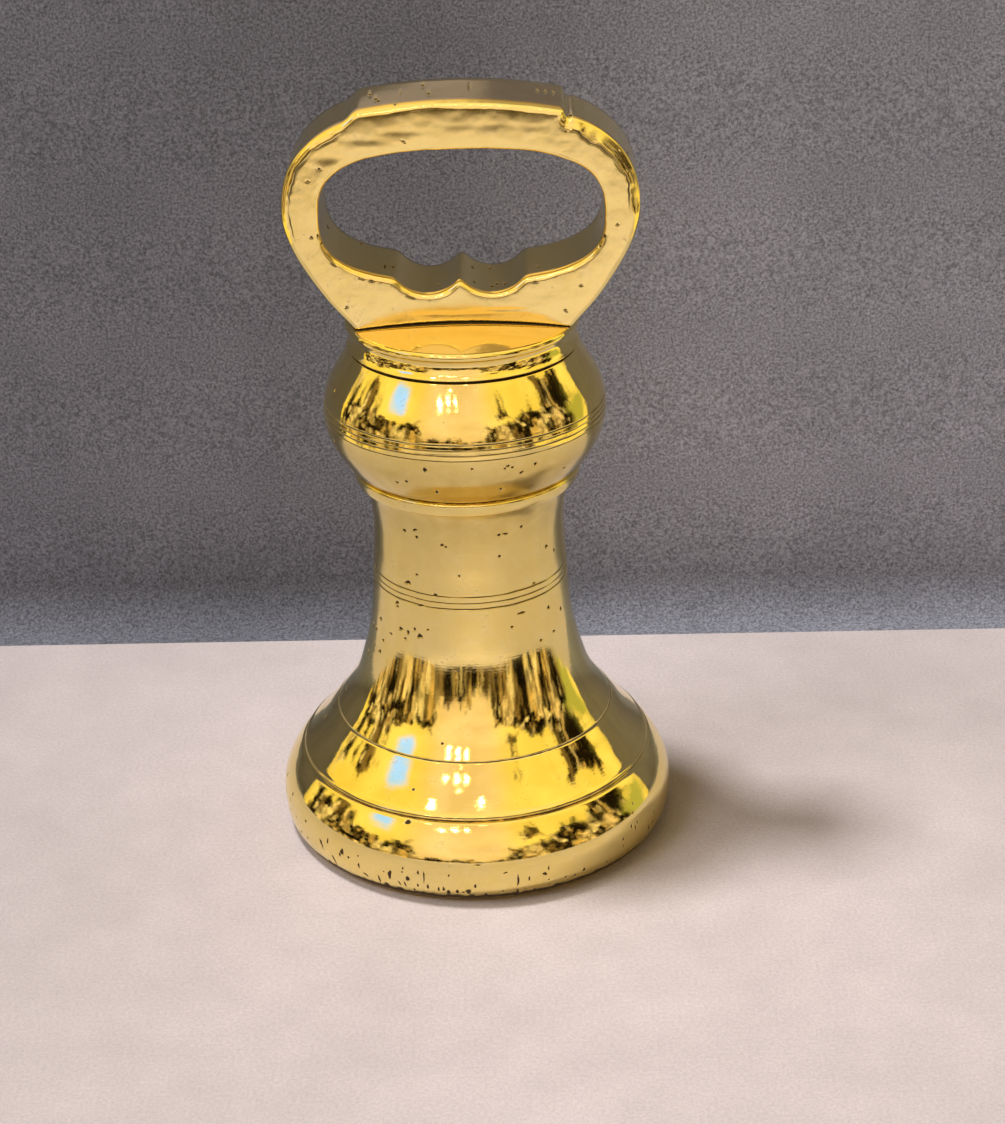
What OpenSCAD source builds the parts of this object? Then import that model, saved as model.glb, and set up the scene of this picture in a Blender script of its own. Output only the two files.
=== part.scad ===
// Brass bell weight with a finger handle.
// Millimetres, +Z up. The origin is on the turning axis, on the plane the
// weight stands on. The handle's width lies along X and its thickness along Y.

/* [Base drum] */
// Radius of the standing rim's outer edge
foot_r = 52.0; // [51.4:0.1:52.4]
// Largest radius of the drum
drum_r = 57.1; // [56.6:0.1:58.5]
// Height of the drum's widest ring
drum_belly_z = 9.5; // [8:0.5:11]
// Height of the quirk between the drum and the shoulder
quirk_z = 23.4; // [23.0:0.1:23.8]
// Radius at that quirk
quirk_r = 50.4; // [50.0:0.1:50.8]
// Depth of the turned relief under the drum
relief_depth = 1.6; // [1:0.1:2.5]
// Radius of the turned relief under the drum
relief_r = 46; // [40:0.5:48]

/* [Shoulder and waist] */
// Height of the line where the shoulder meets the flare
flare_line_z = 36.2; // [36.0:0.1:36.6]
// Radius at that line
flare_line_r = 40.1; // [39.8:0.1:40.4]
// Smallest radius of the waist
waist_r = 26.95; // [26.5:0.05:27.4]
// Height of the lowest of the three waist lines
waist_lines_z = 78.0; // [76:0.5:80]
// Spacing of the waist lines
waist_lines_pitch = 1.8; // [1.2:0.1:2.4]

/* [Bead and bulb] */
// Largest radius of the flat bead under the bulb
bead_r = 31.95; // [31.6:0.05:32.2]
// Height of the quirk over the bead
bead_top_z = 111.7; // [111.5:0.1:111.9]
// Height of the bead
bead_h = 4.1; // [3.8:0.1:4.3]
// Largest radius of the bulb
bulb_r = 39.3; // [38.8:0.1:40]
// Height of the bulb's widest ring
bulb_z = 130; // [129:0.5:131]
// Height of the lowest line of the bulb's band
bulb_lines_z = 127.6; // [126.5:0.1:128]

/* [Collar] */
// Radius of the collar's rim
collar_r = 32.2; // [31.8:0.1:32.6]
// Smallest radius of the cove round the collar
cove_r = 30.4; // [30.2:0.1:31]
// Radius of the lip at the foot of the cove
lip_r = 32.0; // [31.8:0.1:32.2]
// Height of the quirk under the collar
collar_z = 147.0; // [146.8:0.1:147.2]
// Height of the crown of the collar's domed top
crown_z = 157.0; // [156.6:0.1:157.4]
// Spherical radius of the collar's domed top
crown_sphere_r = 232; // [200:1:300]
// Radius of the collar's rounded rim
crown_edge_r = 1.3; // [0.8:0.1:1.6]

/* [Handle] */
// Thickness of the handle, front to back
handle_t = 25.5; // [22:0.5:28]
// Half the width of the loop
loop_half_w = 47.4; // [45:0.1:50]
// How far the loop's middle lies to the right of the axis
loop_shift = 0.9; // [0:0.1:2]
// Height of the loop's widest point
loop_mid_z = 186.0; // [184:0.5:188]
// Height of the loop above its widest point, under the pad
loop_up = 29.9; // [29:0.1:30.4]
// Half-width of the foot that stands on the collar
foot_half_w = 29.1; // [27:0.1:29.4]
// Height of the crown of the raised pad on top
pad_top_z = 217.2; // [217:0.1:219]
// Half-length of the raised pad
pad_half_w = 28.2; // [24:0.1:29]
// Radius of the curve along the raised pad's top
pad_curve_r = 150; // [120:5:220]
// Chamfer on the loop's outer edges
edge_chamfer = 1.6; // [0.5:0.1:2.5]

/* [Finger hole] */
// Half the width of the finger hole
hole_half_w = 37.85; // [35:0.05:38.5]
// Half the height of the finger hole without its scallops
hole_half_h = 18.0; // [16:0.1:18.5]
// Height of the finger hole's middle
hole_mid_z = 186.5; // [185:0.1:187]
// Radius of the two finger scallops
scallop_r = 10; // [9.5:0.1:10.5]
// Height of the scallops' centres
scallop_z = 174.7; // [174:0.1:176]
// Half the spacing of the two scallops
scallop_half_pitch = 8.6; // [8:0.1:9.2]

/* [Joint of handle and body] */
// Radius of the handle's round shank
shank_r = 9.5; // [8:0.1:11]
// Length of the shank below the crown of the collar
shank_len = 36; // [20:1:60]
// Radial clearance between the shank and its socket
socket_gap = 0.05; // [0.02:0.01:0.2]
// Clearance under the shank's end
socket_floor_gap = 1; // [0.5:0.1:3]
// Radius of the cross pin through the collar and the shank
pin_r = 2.25; // [1.5:0.05:2.5]
// Height of the cross pin
pin_z = 150.6; // [150.4:0.1:151]

/* [Adjusting cavity] */
// Radius of the cavity's mouth in the underside
cavity_mouth_r = 13; // [8:0.5:18]
// Radius of the undercut above the mouth
cavity_r = 15; // [10:0.5:20]
// Height of the cavity's roof above the standing plane
cavity_top_z = 16; // [10:0.5:24]
// Height of the lead's face above the standing plane
lead_face_z = 2.2; // [1.9:0.1:4]

/* [Hidden] */
$fn = 96;
brass = [0.84, 0.70, 0.36];
handle_brass = [0.88, 0.76, 0.45];
pin_brass = [0.78, 0.60, 0.28];
lead_grey = [0.45, 0.46, 0.48];
line_w = 0.5;
line_d = 0.25;

// A smooth curve through the points p, with n steps between neighbours
function mixed(p, i) = p[max(0, min(len(p) - 1, i))];
function spline_at(p, i, t) =
    let (a = mixed(p, i - 1), b = p[i], c = p[i + 1], d = mixed(p, i + 2))
    0.5 * (2 * b + (c - a) * t + (2 * a - 5 * b + 4 * c - d) * t * t + (3 * b - a - 3 * c + d) * t * t * t);
function spline(p, n) = [
    for (i = [0 : len(p) - 2]) for (k = [0 : n - 1]) spline_at(p, i, k / n),
    p[len(p) - 1]
];

// Height of the domed crown at radius r
function crown_at(r) = crown_z - crown_sphere_r + sqrt(crown_sphere_r * crown_sphere_r - r * r);
// The crown's profile, from the rim in to the axis
crown_flat_r = collar_r - crown_edge_r;
crown_rim_z = crown_at(crown_flat_r);
crown_profile = concat(
    [for (a = [-60 : 15 : 75]) [crown_flat_r + crown_edge_r * cos(a), crown_rim_z - crown_edge_r + crown_edge_r * sin(a)]],
    [for (k = [16 : -1 : 0]) [crown_flat_r * k / 16, crown_at(crown_flat_r * k / 16)]]
);

// Turned profiles, each a run of [radius, height]
drum_profile = concat(
    [[foot_r, 0], [foot_r + 1.3, 0.25], [foot_r + 2.5, 0.95]],
    spline([
        [foot_r + 3.4, 1.95], [foot_r + 4.1, 3.3], [drum_r - 0.3, 5.8], [drum_r, drum_belly_z],
        [drum_r - 0.2, 12.5], [drum_r - 1.0, 15.3], [drum_r - 2.5, 18.2],
        [drum_r - 4.4, 21], [quirk_r + 0.8, quirk_z - 0.5]
    ], 4)
);
shoulder_profile = concat(
    [[quirk_r, quirk_z - 0.2], [quirk_r - 0.1, quirk_z + 0.1]],
    spline([
        [quirk_r, quirk_z + 0.5], [quirk_r - 0.4, quirk_z + 1.1], [quirk_r - 1.4, quirk_z + 2.1],
        [46.0, 28.7], [44.0, 31.1], [42.1, 33.6],
        [flare_line_r + 0.5, flare_line_z - 0.7], [flare_line_r, flare_line_z - 0.1]
    ], 4)
);
waist_profile = spline([
    [flare_line_r - 0.4, flare_line_z + 0.2], [39.0, 37.6], [36.5, 41.1], [34.3, 45], [32.4, 50],
    [30.7, 56], [29.2, 63], [28.3, 70], [27.75, 77], [27.4, 84], [waist_r, 91],
    [waist_r + 0.1, 98], [28.2, 104], [29.4, bead_top_z - bead_h - 0.5]
], 5);
bead_profile = concat(
    [[29.9, bead_top_z - bead_h - 0.2], [bead_r - 1.1, bead_top_z - bead_h]],
    spline([
        [bead_r - 0.75, bead_top_z - bead_h + 0.25], [bead_r - 0.4, bead_top_z - 3.0],
        [bead_r - 0.1, bead_top_z - 2.0], [bead_r, bead_top_z - 1.2],
        [bead_r - 0.05, bead_top_z - 0.6], [bead_r - 0.35, bead_top_z - 0.2]
    ], 4),
    [[bead_r - 1.0, bead_top_z], [bead_r - 1.0, bead_top_z + 0.25]]
);
bulb_profile = spline([
    [31.7, bead_top_z + 0.45], [32.7, 113.0], [34.3, 115], [36.2, 118], [37.7, 121], [38.8, 125],
    [bulb_r, bulb_z], [bulb_r - 0.45, 133.6], [37.5, 137], [35.1, 141], [32.8, 144.5], [31.4, collar_z - 0.5]
], 5);
collar_profile = concat(
    [[lip_r - 1.4, collar_z - 0.1], [lip_r - 1.4, collar_z + 0.15], [lip_r - 0.2, collar_z + 0.15]],
    spline([
        [lip_r, collar_z + 0.4], [lip_r - 0.5, collar_z + 1.0], [lip_r - 1.05, collar_z + 1.8],
        [cove_r + 0.15, collar_z + 2.8], [cove_r, collar_z + 3.7], [cove_r + 0.1, collar_z + 4.5],
        [cove_r + 0.45, collar_z + 5.3]
    ], 4)
);

module ring_line(r, z, w = line_w, d = line_d) {
    rotate_extrude() polygon([[r - d, z], [r + 0.6, z - w / 2 - 0.6 * w / (2 * d)], [r + 0.6, z + w / 2 + 0.6 * w / (2 * d)]]);
}

module turned_solid() {
    rotate_extrude() polygon(concat(
        [[0, relief_depth], [relief_r, relief_depth], [relief_r + 1.2, 0]],
        drum_profile, shoulder_profile, waist_profile, bead_profile, bulb_profile, collar_profile, crown_profile
    ));
}

// The space under the crown, which the handle's foot is fitted down onto
module crown_space() {
    rotate_extrude() polygon(concat([[0, crown_z - 12], [crown_profile[0][0], crown_z - 12]], crown_profile));
}

module cavity() {
    rotate_extrude() polygon([
        [0, -1], [cavity_mouth_r, -1], [cavity_mouth_r, relief_depth + 3], [cavity_r, relief_depth + 6],
        [cavity_r, cavity_top_z - 1.5], [cavity_r - 1.5, cavity_top_z], [0, cavity_top_z]
    ]);
}

module cross_hole(r) {
    translate([0, 0, pin_z]) rotate([0, 90, 0]) cylinder(r = r, h = 2 * collar_r + 4, center = true);
}

// Turned brass casting: drum, shoulder, waist, bead, bulb and collar
module bell_body() color(brass) difference() {
    turned_solid();
    cavity();
    translate([0, 0, crown_z - shank_len - socket_floor_gap])
        cylinder(r = shank_r + socket_gap, h = shank_len + socket_floor_gap + 5);
    cross_hole(pin_r);
    for (k = [0 : 2]) ring_line(27.68 - 0.05 * k, waist_lines_z + k * waist_lines_pitch);
    ring_line(bulb_r - 0.13, bulb_lines_z, 0.4, 0.14);
    ring_line(bulb_r - 0.02, bulb_lines_z + 1.5, 0.4, 0.16);
    ring_line(bulb_r - 0.02, bulb_lines_z + 2.9, 0.4, 0.14);
    ring_line(bulb_r - 0.11, bulb_lines_z + 4.3, 0.5, 0.2);
}

// Outline of the loop: a fuller curve above its widest point, a leaner one below
function oval(a, b, n, t) = [
    a * sign(cos(t)) * pow(abs(cos(t)), 2 / n),
    b * sign(sin(t)) * pow(abs(sin(t)), 2 / n)
];
module loop_outline(inset = 0) {
    translate([loop_shift, loop_mid_z]) polygon(concat(
        [for (t = [0 : 3 : 177]) oval(loop_half_w - inset, loop_up - inset, 2.6, t)],
        [for (t = [180 : 3 : 357]) oval(loop_half_w - inset, 47.5 - inset, 1.5, t)]
    ));
}
module loop_slab(t, inset) {
    rotate([90, 0, 0]) linear_extrude(t, center = true) intersection() {
        loop_outline(inset);
        translate([-foot_half_w - 30, crown_z - 6]) square([2 * foot_half_w + 60, 80]);
    }
}

module pad_outline(inset = 0) {
    intersection() {
        translate([0, pad_top_z - pad_curve_r - inset]) circle(pad_curve_r, $fn = 720);
        polygon([
            [-pad_half_w - 0.6 + inset, loop_mid_z + 26], [-pad_half_w + 0.6 + inset, pad_top_z + 1],
            [pad_half_w - inset, pad_top_z + 1], [pad_half_w + 1.1 - inset, loop_mid_z + 26]
        ]);
    }
}

module finger_hole() {
    rotate([90, 0, 0]) linear_extrude(handle_t + 4, center = true) {
        translate([loop_shift + 0.25, hole_mid_z])
            polygon([for (t = [0 : 3 : 357]) oval(hole_half_w, hole_half_h, 2.8, t)]);
        for (s = [-1, 1]) translate([s * scallop_half_pitch + 0.1, scallop_z]) circle(scallop_r);
    }
}

// Flat cast loop with a raised pad, a fitted foot and a round shank
module handle() color(handle_brass) difference() {
    union() {
        difference() {
            union() {
                hull() {
                    loop_slab(handle_t, edge_chamfer);
                    loop_slab(handle_t - 2 * edge_chamfer, 0);
                }
                hull() {
                    rotate([90, 0, 0]) linear_extrude(handle_t, center = true) pad_outline(edge_chamfer);
                    rotate([90, 0, 0]) linear_extrude(handle_t - 2 * edge_chamfer, center = true) pad_outline(0);
                }
            }
            crown_space();
            finger_hole();
        }
        translate([0, 0, crown_z - shank_len]) cylinder(r = shank_r, h = shank_len + 3);
    }
    cross_hole(pin_r);
}

// Plain pin through the collar and the shank, its ends dressed flush with the cove
module cross_pin() color(pin_brass) intersection() {
    cross_hole(pin_r);
    turned_solid();
}

// Lead run into the undercut cavity, which sets the final mass
module adjusting_lead() color(lead_grey) intersection() {
    cavity();
    translate([0, 0, lead_face_z]) cylinder(r = cavity_r + 2, h = cavity_top_z);
}

bell_body();
handle();
cross_pin();
adjusting_lead();
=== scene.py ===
import bisect
import math

import bpy
import numpy as np
from mathutils import Matrix


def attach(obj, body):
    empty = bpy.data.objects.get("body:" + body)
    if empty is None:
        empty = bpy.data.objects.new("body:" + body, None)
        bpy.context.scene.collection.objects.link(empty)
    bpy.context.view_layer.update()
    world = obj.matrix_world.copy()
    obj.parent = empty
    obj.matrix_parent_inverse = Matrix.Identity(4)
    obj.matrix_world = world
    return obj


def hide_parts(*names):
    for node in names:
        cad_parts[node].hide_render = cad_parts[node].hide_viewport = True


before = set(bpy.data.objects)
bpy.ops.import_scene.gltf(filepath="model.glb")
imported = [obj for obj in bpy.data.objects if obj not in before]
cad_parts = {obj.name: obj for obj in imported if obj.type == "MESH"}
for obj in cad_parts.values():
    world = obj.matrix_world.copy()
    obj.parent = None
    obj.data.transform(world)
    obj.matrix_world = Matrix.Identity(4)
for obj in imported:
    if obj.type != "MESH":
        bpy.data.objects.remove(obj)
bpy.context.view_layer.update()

scene = bpy.context.scene
MM = 0.001

# ---------------------------------------------------------------- camera
# A pinhole camera in millimetres and pixels of a 1005 x 1124 image.
FOCAL, DIST, HEIGHT = 2540.4, 654.8, 394.6
PITCH, YAW, ROLL = (math.radians(a) for a in (25.734, 0.824, -1.558))
MID_X, MID_Y = 503.2, 562.0
TURN = math.radians(2.0)


def turned(v):
    c, s = math.cos(TURN), math.sin(TURN)
    return np.array([c * v[0] - s * v[1], s * v[0] + c * v[1], v[2]])


_fw = np.array([math.sin(YAW) * math.cos(PITCH), math.cos(YAW) * math.cos(PITCH), -math.sin(PITCH)])
_rt = np.array([math.cos(YAW), -math.sin(YAW), 0.0])
_up = np.cross(_rt, _fw)
CAM_R = turned(_rt * math.cos(ROLL) + _up * math.sin(ROLL))
CAM_U = turned(-_rt * math.sin(ROLL) + _up * math.cos(ROLL))
CAM_F = turned(_fw)
CAM_P = turned(np.array([0.0, -DIST, HEIGHT]))

cam_data = bpy.data.cameras.new("studio_camera")
cam_data.sensor_fit = "AUTO"
cam_data.sensor_width = 36.0
cam_data.lens = FOCAL / 1124.0 * 36.0
cam_data.shift_x = -(MID_X - 502.5) / 1124.0
cam_data.clip_start = 0.01
cam_data.clip_end = 20.0
camera = bpy.data.objects.new("studio_camera", cam_data)
scene.collection.objects.link(camera)
camera.matrix_world = Matrix((
    (CAM_R[0], CAM_U[0], -CAM_F[0], CAM_P[0] * MM),
    (CAM_R[1], CAM_U[1], -CAM_F[1], CAM_P[1] * MM),
    (CAM_R[2], CAM_U[2], -CAM_F[2], CAM_P[2] * MM),
    (0, 0, 0, 1),
))
scene.camera = camera


def ray(px, py):
    d = CAM_F * FOCAL + CAM_R * (px - MID_X) - CAM_U * (py - MID_Y)
    return d / np.linalg.norm(d)


def to_pixels(p):
    d = p - CAM_P
    w = d @ CAM_F
    return MID_X + FOCAL * (d @ CAM_R) / w, MID_Y - FOCAL * (d @ CAM_U) / w, w


# ---------------------------------------------------------------- helpers
def catmull(points, n):
    pts = [np.array(q, float) for q in points]
    at = lambda i: pts[max(0, min(len(pts) - 1, i))]
    out = []
    for i in range(len(pts) - 1):
        a, b, c, d = at(i - 1), pts[i], pts[i + 1], at(i + 2)
        for k in range(n):
            t = k / n
            out.append(0.5 * (2 * b + (c - a) * t + (2 * a - 5 * b + 4 * c - d) * t * t
                              + (3 * b - a - 3 * c + d) * t ** 3))
    out.append(pts[-1])
    return [tuple(q) for q in out]


def gauss(values, sigma, wrap=False):
    """Values smoothed along their first axis, with sigma in samples."""
    n = max(1, int(round(sigma * 3.5)))
    k = np.exp(-0.5 * (np.arange(-n, n + 1) / sigma) ** 2)
    k /= k.sum()
    v = np.asarray(values, float)
    if wrap:
        ext = np.concatenate([v[-n:], v, v[:n]])
    else:
        ext = np.concatenate([2 * v[:1] - v[n:0:-1], v, 2 * v[-1:] - v[-2:-n - 2:-1]])
    if v.ndim == 1:
        return np.convolve(ext, k, "valid")
    return np.stack([np.convolve(ext[:, i], k, "valid") for i in range(v.shape[1])], 1)


def step(a, b, x):
    t = np.clip((x - a) / (b - a), 0.0, 1.0)
    return t * t * (3 - 2 * t)


class Waves:
    """Smooth seeded noise of unit variance over points in millimetres."""

    def __init__(self, seed, wavelength, count=26, stretch=(1, 1, 1)):
        g = np.random.default_rng(seed)
        d = g.normal(size=(count, 3))
        d /= np.linalg.norm(d, axis=1)[:, None]
        self.k = d * (2 * np.pi / wavelength) * g.uniform(0.65, 1.45, (count, 1)) * np.array(stretch)
        self.p = g.uniform(0, 2 * np.pi, count)

    def __call__(self, p):
        p = np.asarray(p, float)
        out = np.zeros(p.shape[:-1])
        for k, ph in zip(self.k, self.p):
            out += np.cos(p @ k + ph)
        return out * math.sqrt(2.0 / len(self.p))


def make_object(name, verts, faces, loop_uv, dirt_and_shade=None, normals=None):
    me = bpy.data.meshes.new(name)
    me.from_pydata([tuple(v) for v in (np.asarray(verts) * MM)], [], faces)
    me.update()
    uv = me.uv_layers.new(name="OFBake")
    uv.data.foreach_set("uv", np.asarray(loop_uv, np.float32).ravel())
    if dirt_and_shade is not None:
        a = me.attributes.new("dirt_and_shade", "FLOAT", "POINT")
        a.data.foreach_set("value", np.asarray(dirt_and_shade, np.float32))
    me.polygons.foreach_set("use_smooth", [True] * len(me.polygons))
    if normals is not None:
        me.normals_split_custom_set_from_vertices([tuple(n) for n in normals])
    ob = bpy.data.objects.new(name, me)
    scene.collection.objects.link(ob)
    return ob


# ---------------------------------------------------------------- turned profile
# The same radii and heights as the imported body, in millimetres.
CROWN_Z, CROWN_S = 157.0, 232.0
COLLAR_R, EDGE_R, COLLAR_Z = 32.2, 1.3, 147.0
SOCKET_R, SOCKET_Z = 9.55, 120.0


def crown_at(r):
    return CROWN_Z - CROWN_S + np.sqrt(CROWN_S ** 2 - np.asarray(r, float) ** 2)


_flat = COLLAR_R - EDGE_R
_rim_z = float(crown_at(_flat)) - EDGE_R
profile = [(0, 16.0), (13.5, 16.0), (15, 14.5), (15, 7.6), (13, 4.6), (13, 1.6), (46, 1.6), (47.2, 0)]
N_UNDER = len(profile)
profile += [(52.0, 0), (53.3, 0.25), (54.5, 0.95)]
profile += catmull([(55.4, 1.95), (56.1, 3.3), (56.8, 5.8), (57.1, 9.5), (56.9, 12.5), (56.1, 15.3),
                    (54.6, 18.2), (52.7, 21), (51.35, 22.75)], 12)
profile += [(50.9, 23.15), (50.15, 23.35), (50.2, 23.6)]
profile += catmull([(50.45, 23.95), (50.1, 24.6), (49.0, 25.5), (46.0, 28.7), (44.0, 31.1), (42.1, 33.6),
                    (40.6, 35.5), (40.25, 35.95)], 12)
profile += [(39.85, 36.15), (39.75, 36.35)]
profile += catmull([(39.75, 36.6), (39.0, 37.6), (36.5, 41.1), (34.3, 45), (32.4, 50), (30.7, 56), (29.2, 63),
                    (28.3, 70), (27.75, 77), (27.4, 84), (26.95, 91), (27.05, 98), (28.2, 104),
                    (29.4, 107.1)], 12)
profile += [(29.9, 107.4), (30.85, 107.6)]
profile += catmull([(31.2, 107.85), (31.55, 108.7), (31.85, 109.7), (31.95, 110.5), (31.9, 111.1),
                    (31.6, 111.5)], 8)
profile += [(30.95, 111.7), (30.95, 111.95)]
profile += catmull([(31.7, 112.15), (32.7, 113.0), (34.3, 115), (36.2, 118), (37.75, 121), (38.95, 125),
                    (39.3, 128.6), (38.8, 132.8), (37.4, 136.9), (35.05, 141), (32.8, 144.5), (31.45, 146.4)], 12)
profile += [(30.3, 146.5), (30.2, 147.2), (31.7, 147.2)]
profile += catmull([(32.0, COLLAR_Z + 0.45), (31.5, COLLAR_Z + 1.0), (30.95, COLLAR_Z + 1.8),
                    (30.55, COLLAR_Z + 2.8), (30.4, COLLAR_Z + 3.7), (30.5, COLLAR_Z + 4.5),
                    (30.85, COLLAR_Z + 5.3)], 10)
profile += [(_flat + EDGE_R * math.cos(math.radians(a)), _rim_z + EDGE_R * math.sin(math.radians(a)))
            for a in range(-54, 81, 6)]
profile += [(r, float(crown_at(r))) for r in np.linspace(30.6, SOCKET_R, 60)]
profile += [(SOCKET_R, SOCKET_Z), (0, SOCKET_Z)]

_p = np.array(profile, float)
_arc = np.concatenate([[0], np.cumsum(np.hypot(*np.diff(_p, axis=0).T))])
DS = 0.02
S = np.arange(0, _arc[-1], DS)
_r = gauss(np.interp(S, _arc, _p[:, 0]), 0.12 / DS)
_z = gauss(np.interp(S, _arc, _p[:, 1]), 0.12 / DS)
_r[0] = 0.0
_r = np.maximum(_r, 0.0)
_dr, _dz = np.gradient(_r, DS), np.gradient(_z, DS)
_l = np.hypot(_dr, _dz)
PR, PZ, NR, NZ = _r, _z, _dz / _l, -_dr / _l
S_END = S[-1]
_kappa = gauss(np.abs(np.gradient(np.unwrap(np.arctan2(_dz, _dr)), DS)), 5)


def s_near(r, z):
    return float(S[np.argmin((PR - r) ** 2 + (PZ - z) ** 2)])


def s_at_height(z, lo, hi):
    """Arc length at a height on the outer surface, between two heights."""
    a, b = int(s_near(*lo) / DS), int(s_near(*hi) / DS)
    return float(S[a + np.argmin(np.abs(PZ[a:b] - z))])


UNDER_END = s_near(47.2, 0)
SOCKET_AT = s_near(SOCKET_R, float(crown_at(SOCKET_R)))
WAIST = ((39.7, 36.6), (29.4, 107.1))
BULB = ((31.7, 112.0), (31.4, 146.3))
# Cut lines: arc length, depth, half width, raised lip
LINES = [(s_at_height(z, *WAIST), d, w, lip) for z, d, w, lip in
         ((78.0, 0.17, 0.17, 0.02), (79.75, 0.13, 0.13, 0.015), (81.6, 0.20, 0.17, 0.02))]
LINES += [(s_at_height(z, *BULB), d, w, lip) for z, d, w, lip in
          ((127.6, 0.06, 0.12, 0.01), (129.1, 0.10, 0.14, 0.012), (130.5, 0.08, 0.12, 0.01),
           (131.95, 0.15, 0.17, 0.02))]
LINES += [(s_near(50.3, 24.35), 0.08, 0.13, 0.0)]  # the fine line just over the drum's quirk
GROOVE_DIRT_AND_FOOT_SHADE = [  # arc length, half width of the dirt in it, strength; the foot's entry is painted shade
    (s_near(50.1, 23.35), 0.22, 1.0), (s_near(39.8, 36.2), 0.20, 1.0),
    (s_near(29.9, 107.45), 0.26, 0.9), (s_near(30.95, 111.8), 0.24, 1.0),
    (s_near(30.25, 146.9), 0.95, 1.0), (s_near(31.0, 147.2), 0.5, 0.8), (s_near(31.6, 152.9), 0.16, 0.8),
    (s_near(55.5, 2.2), 1.35, 1.0),  # painted shade: a dark band on the foot's lower rounding, where the contact shadow falls
]

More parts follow.
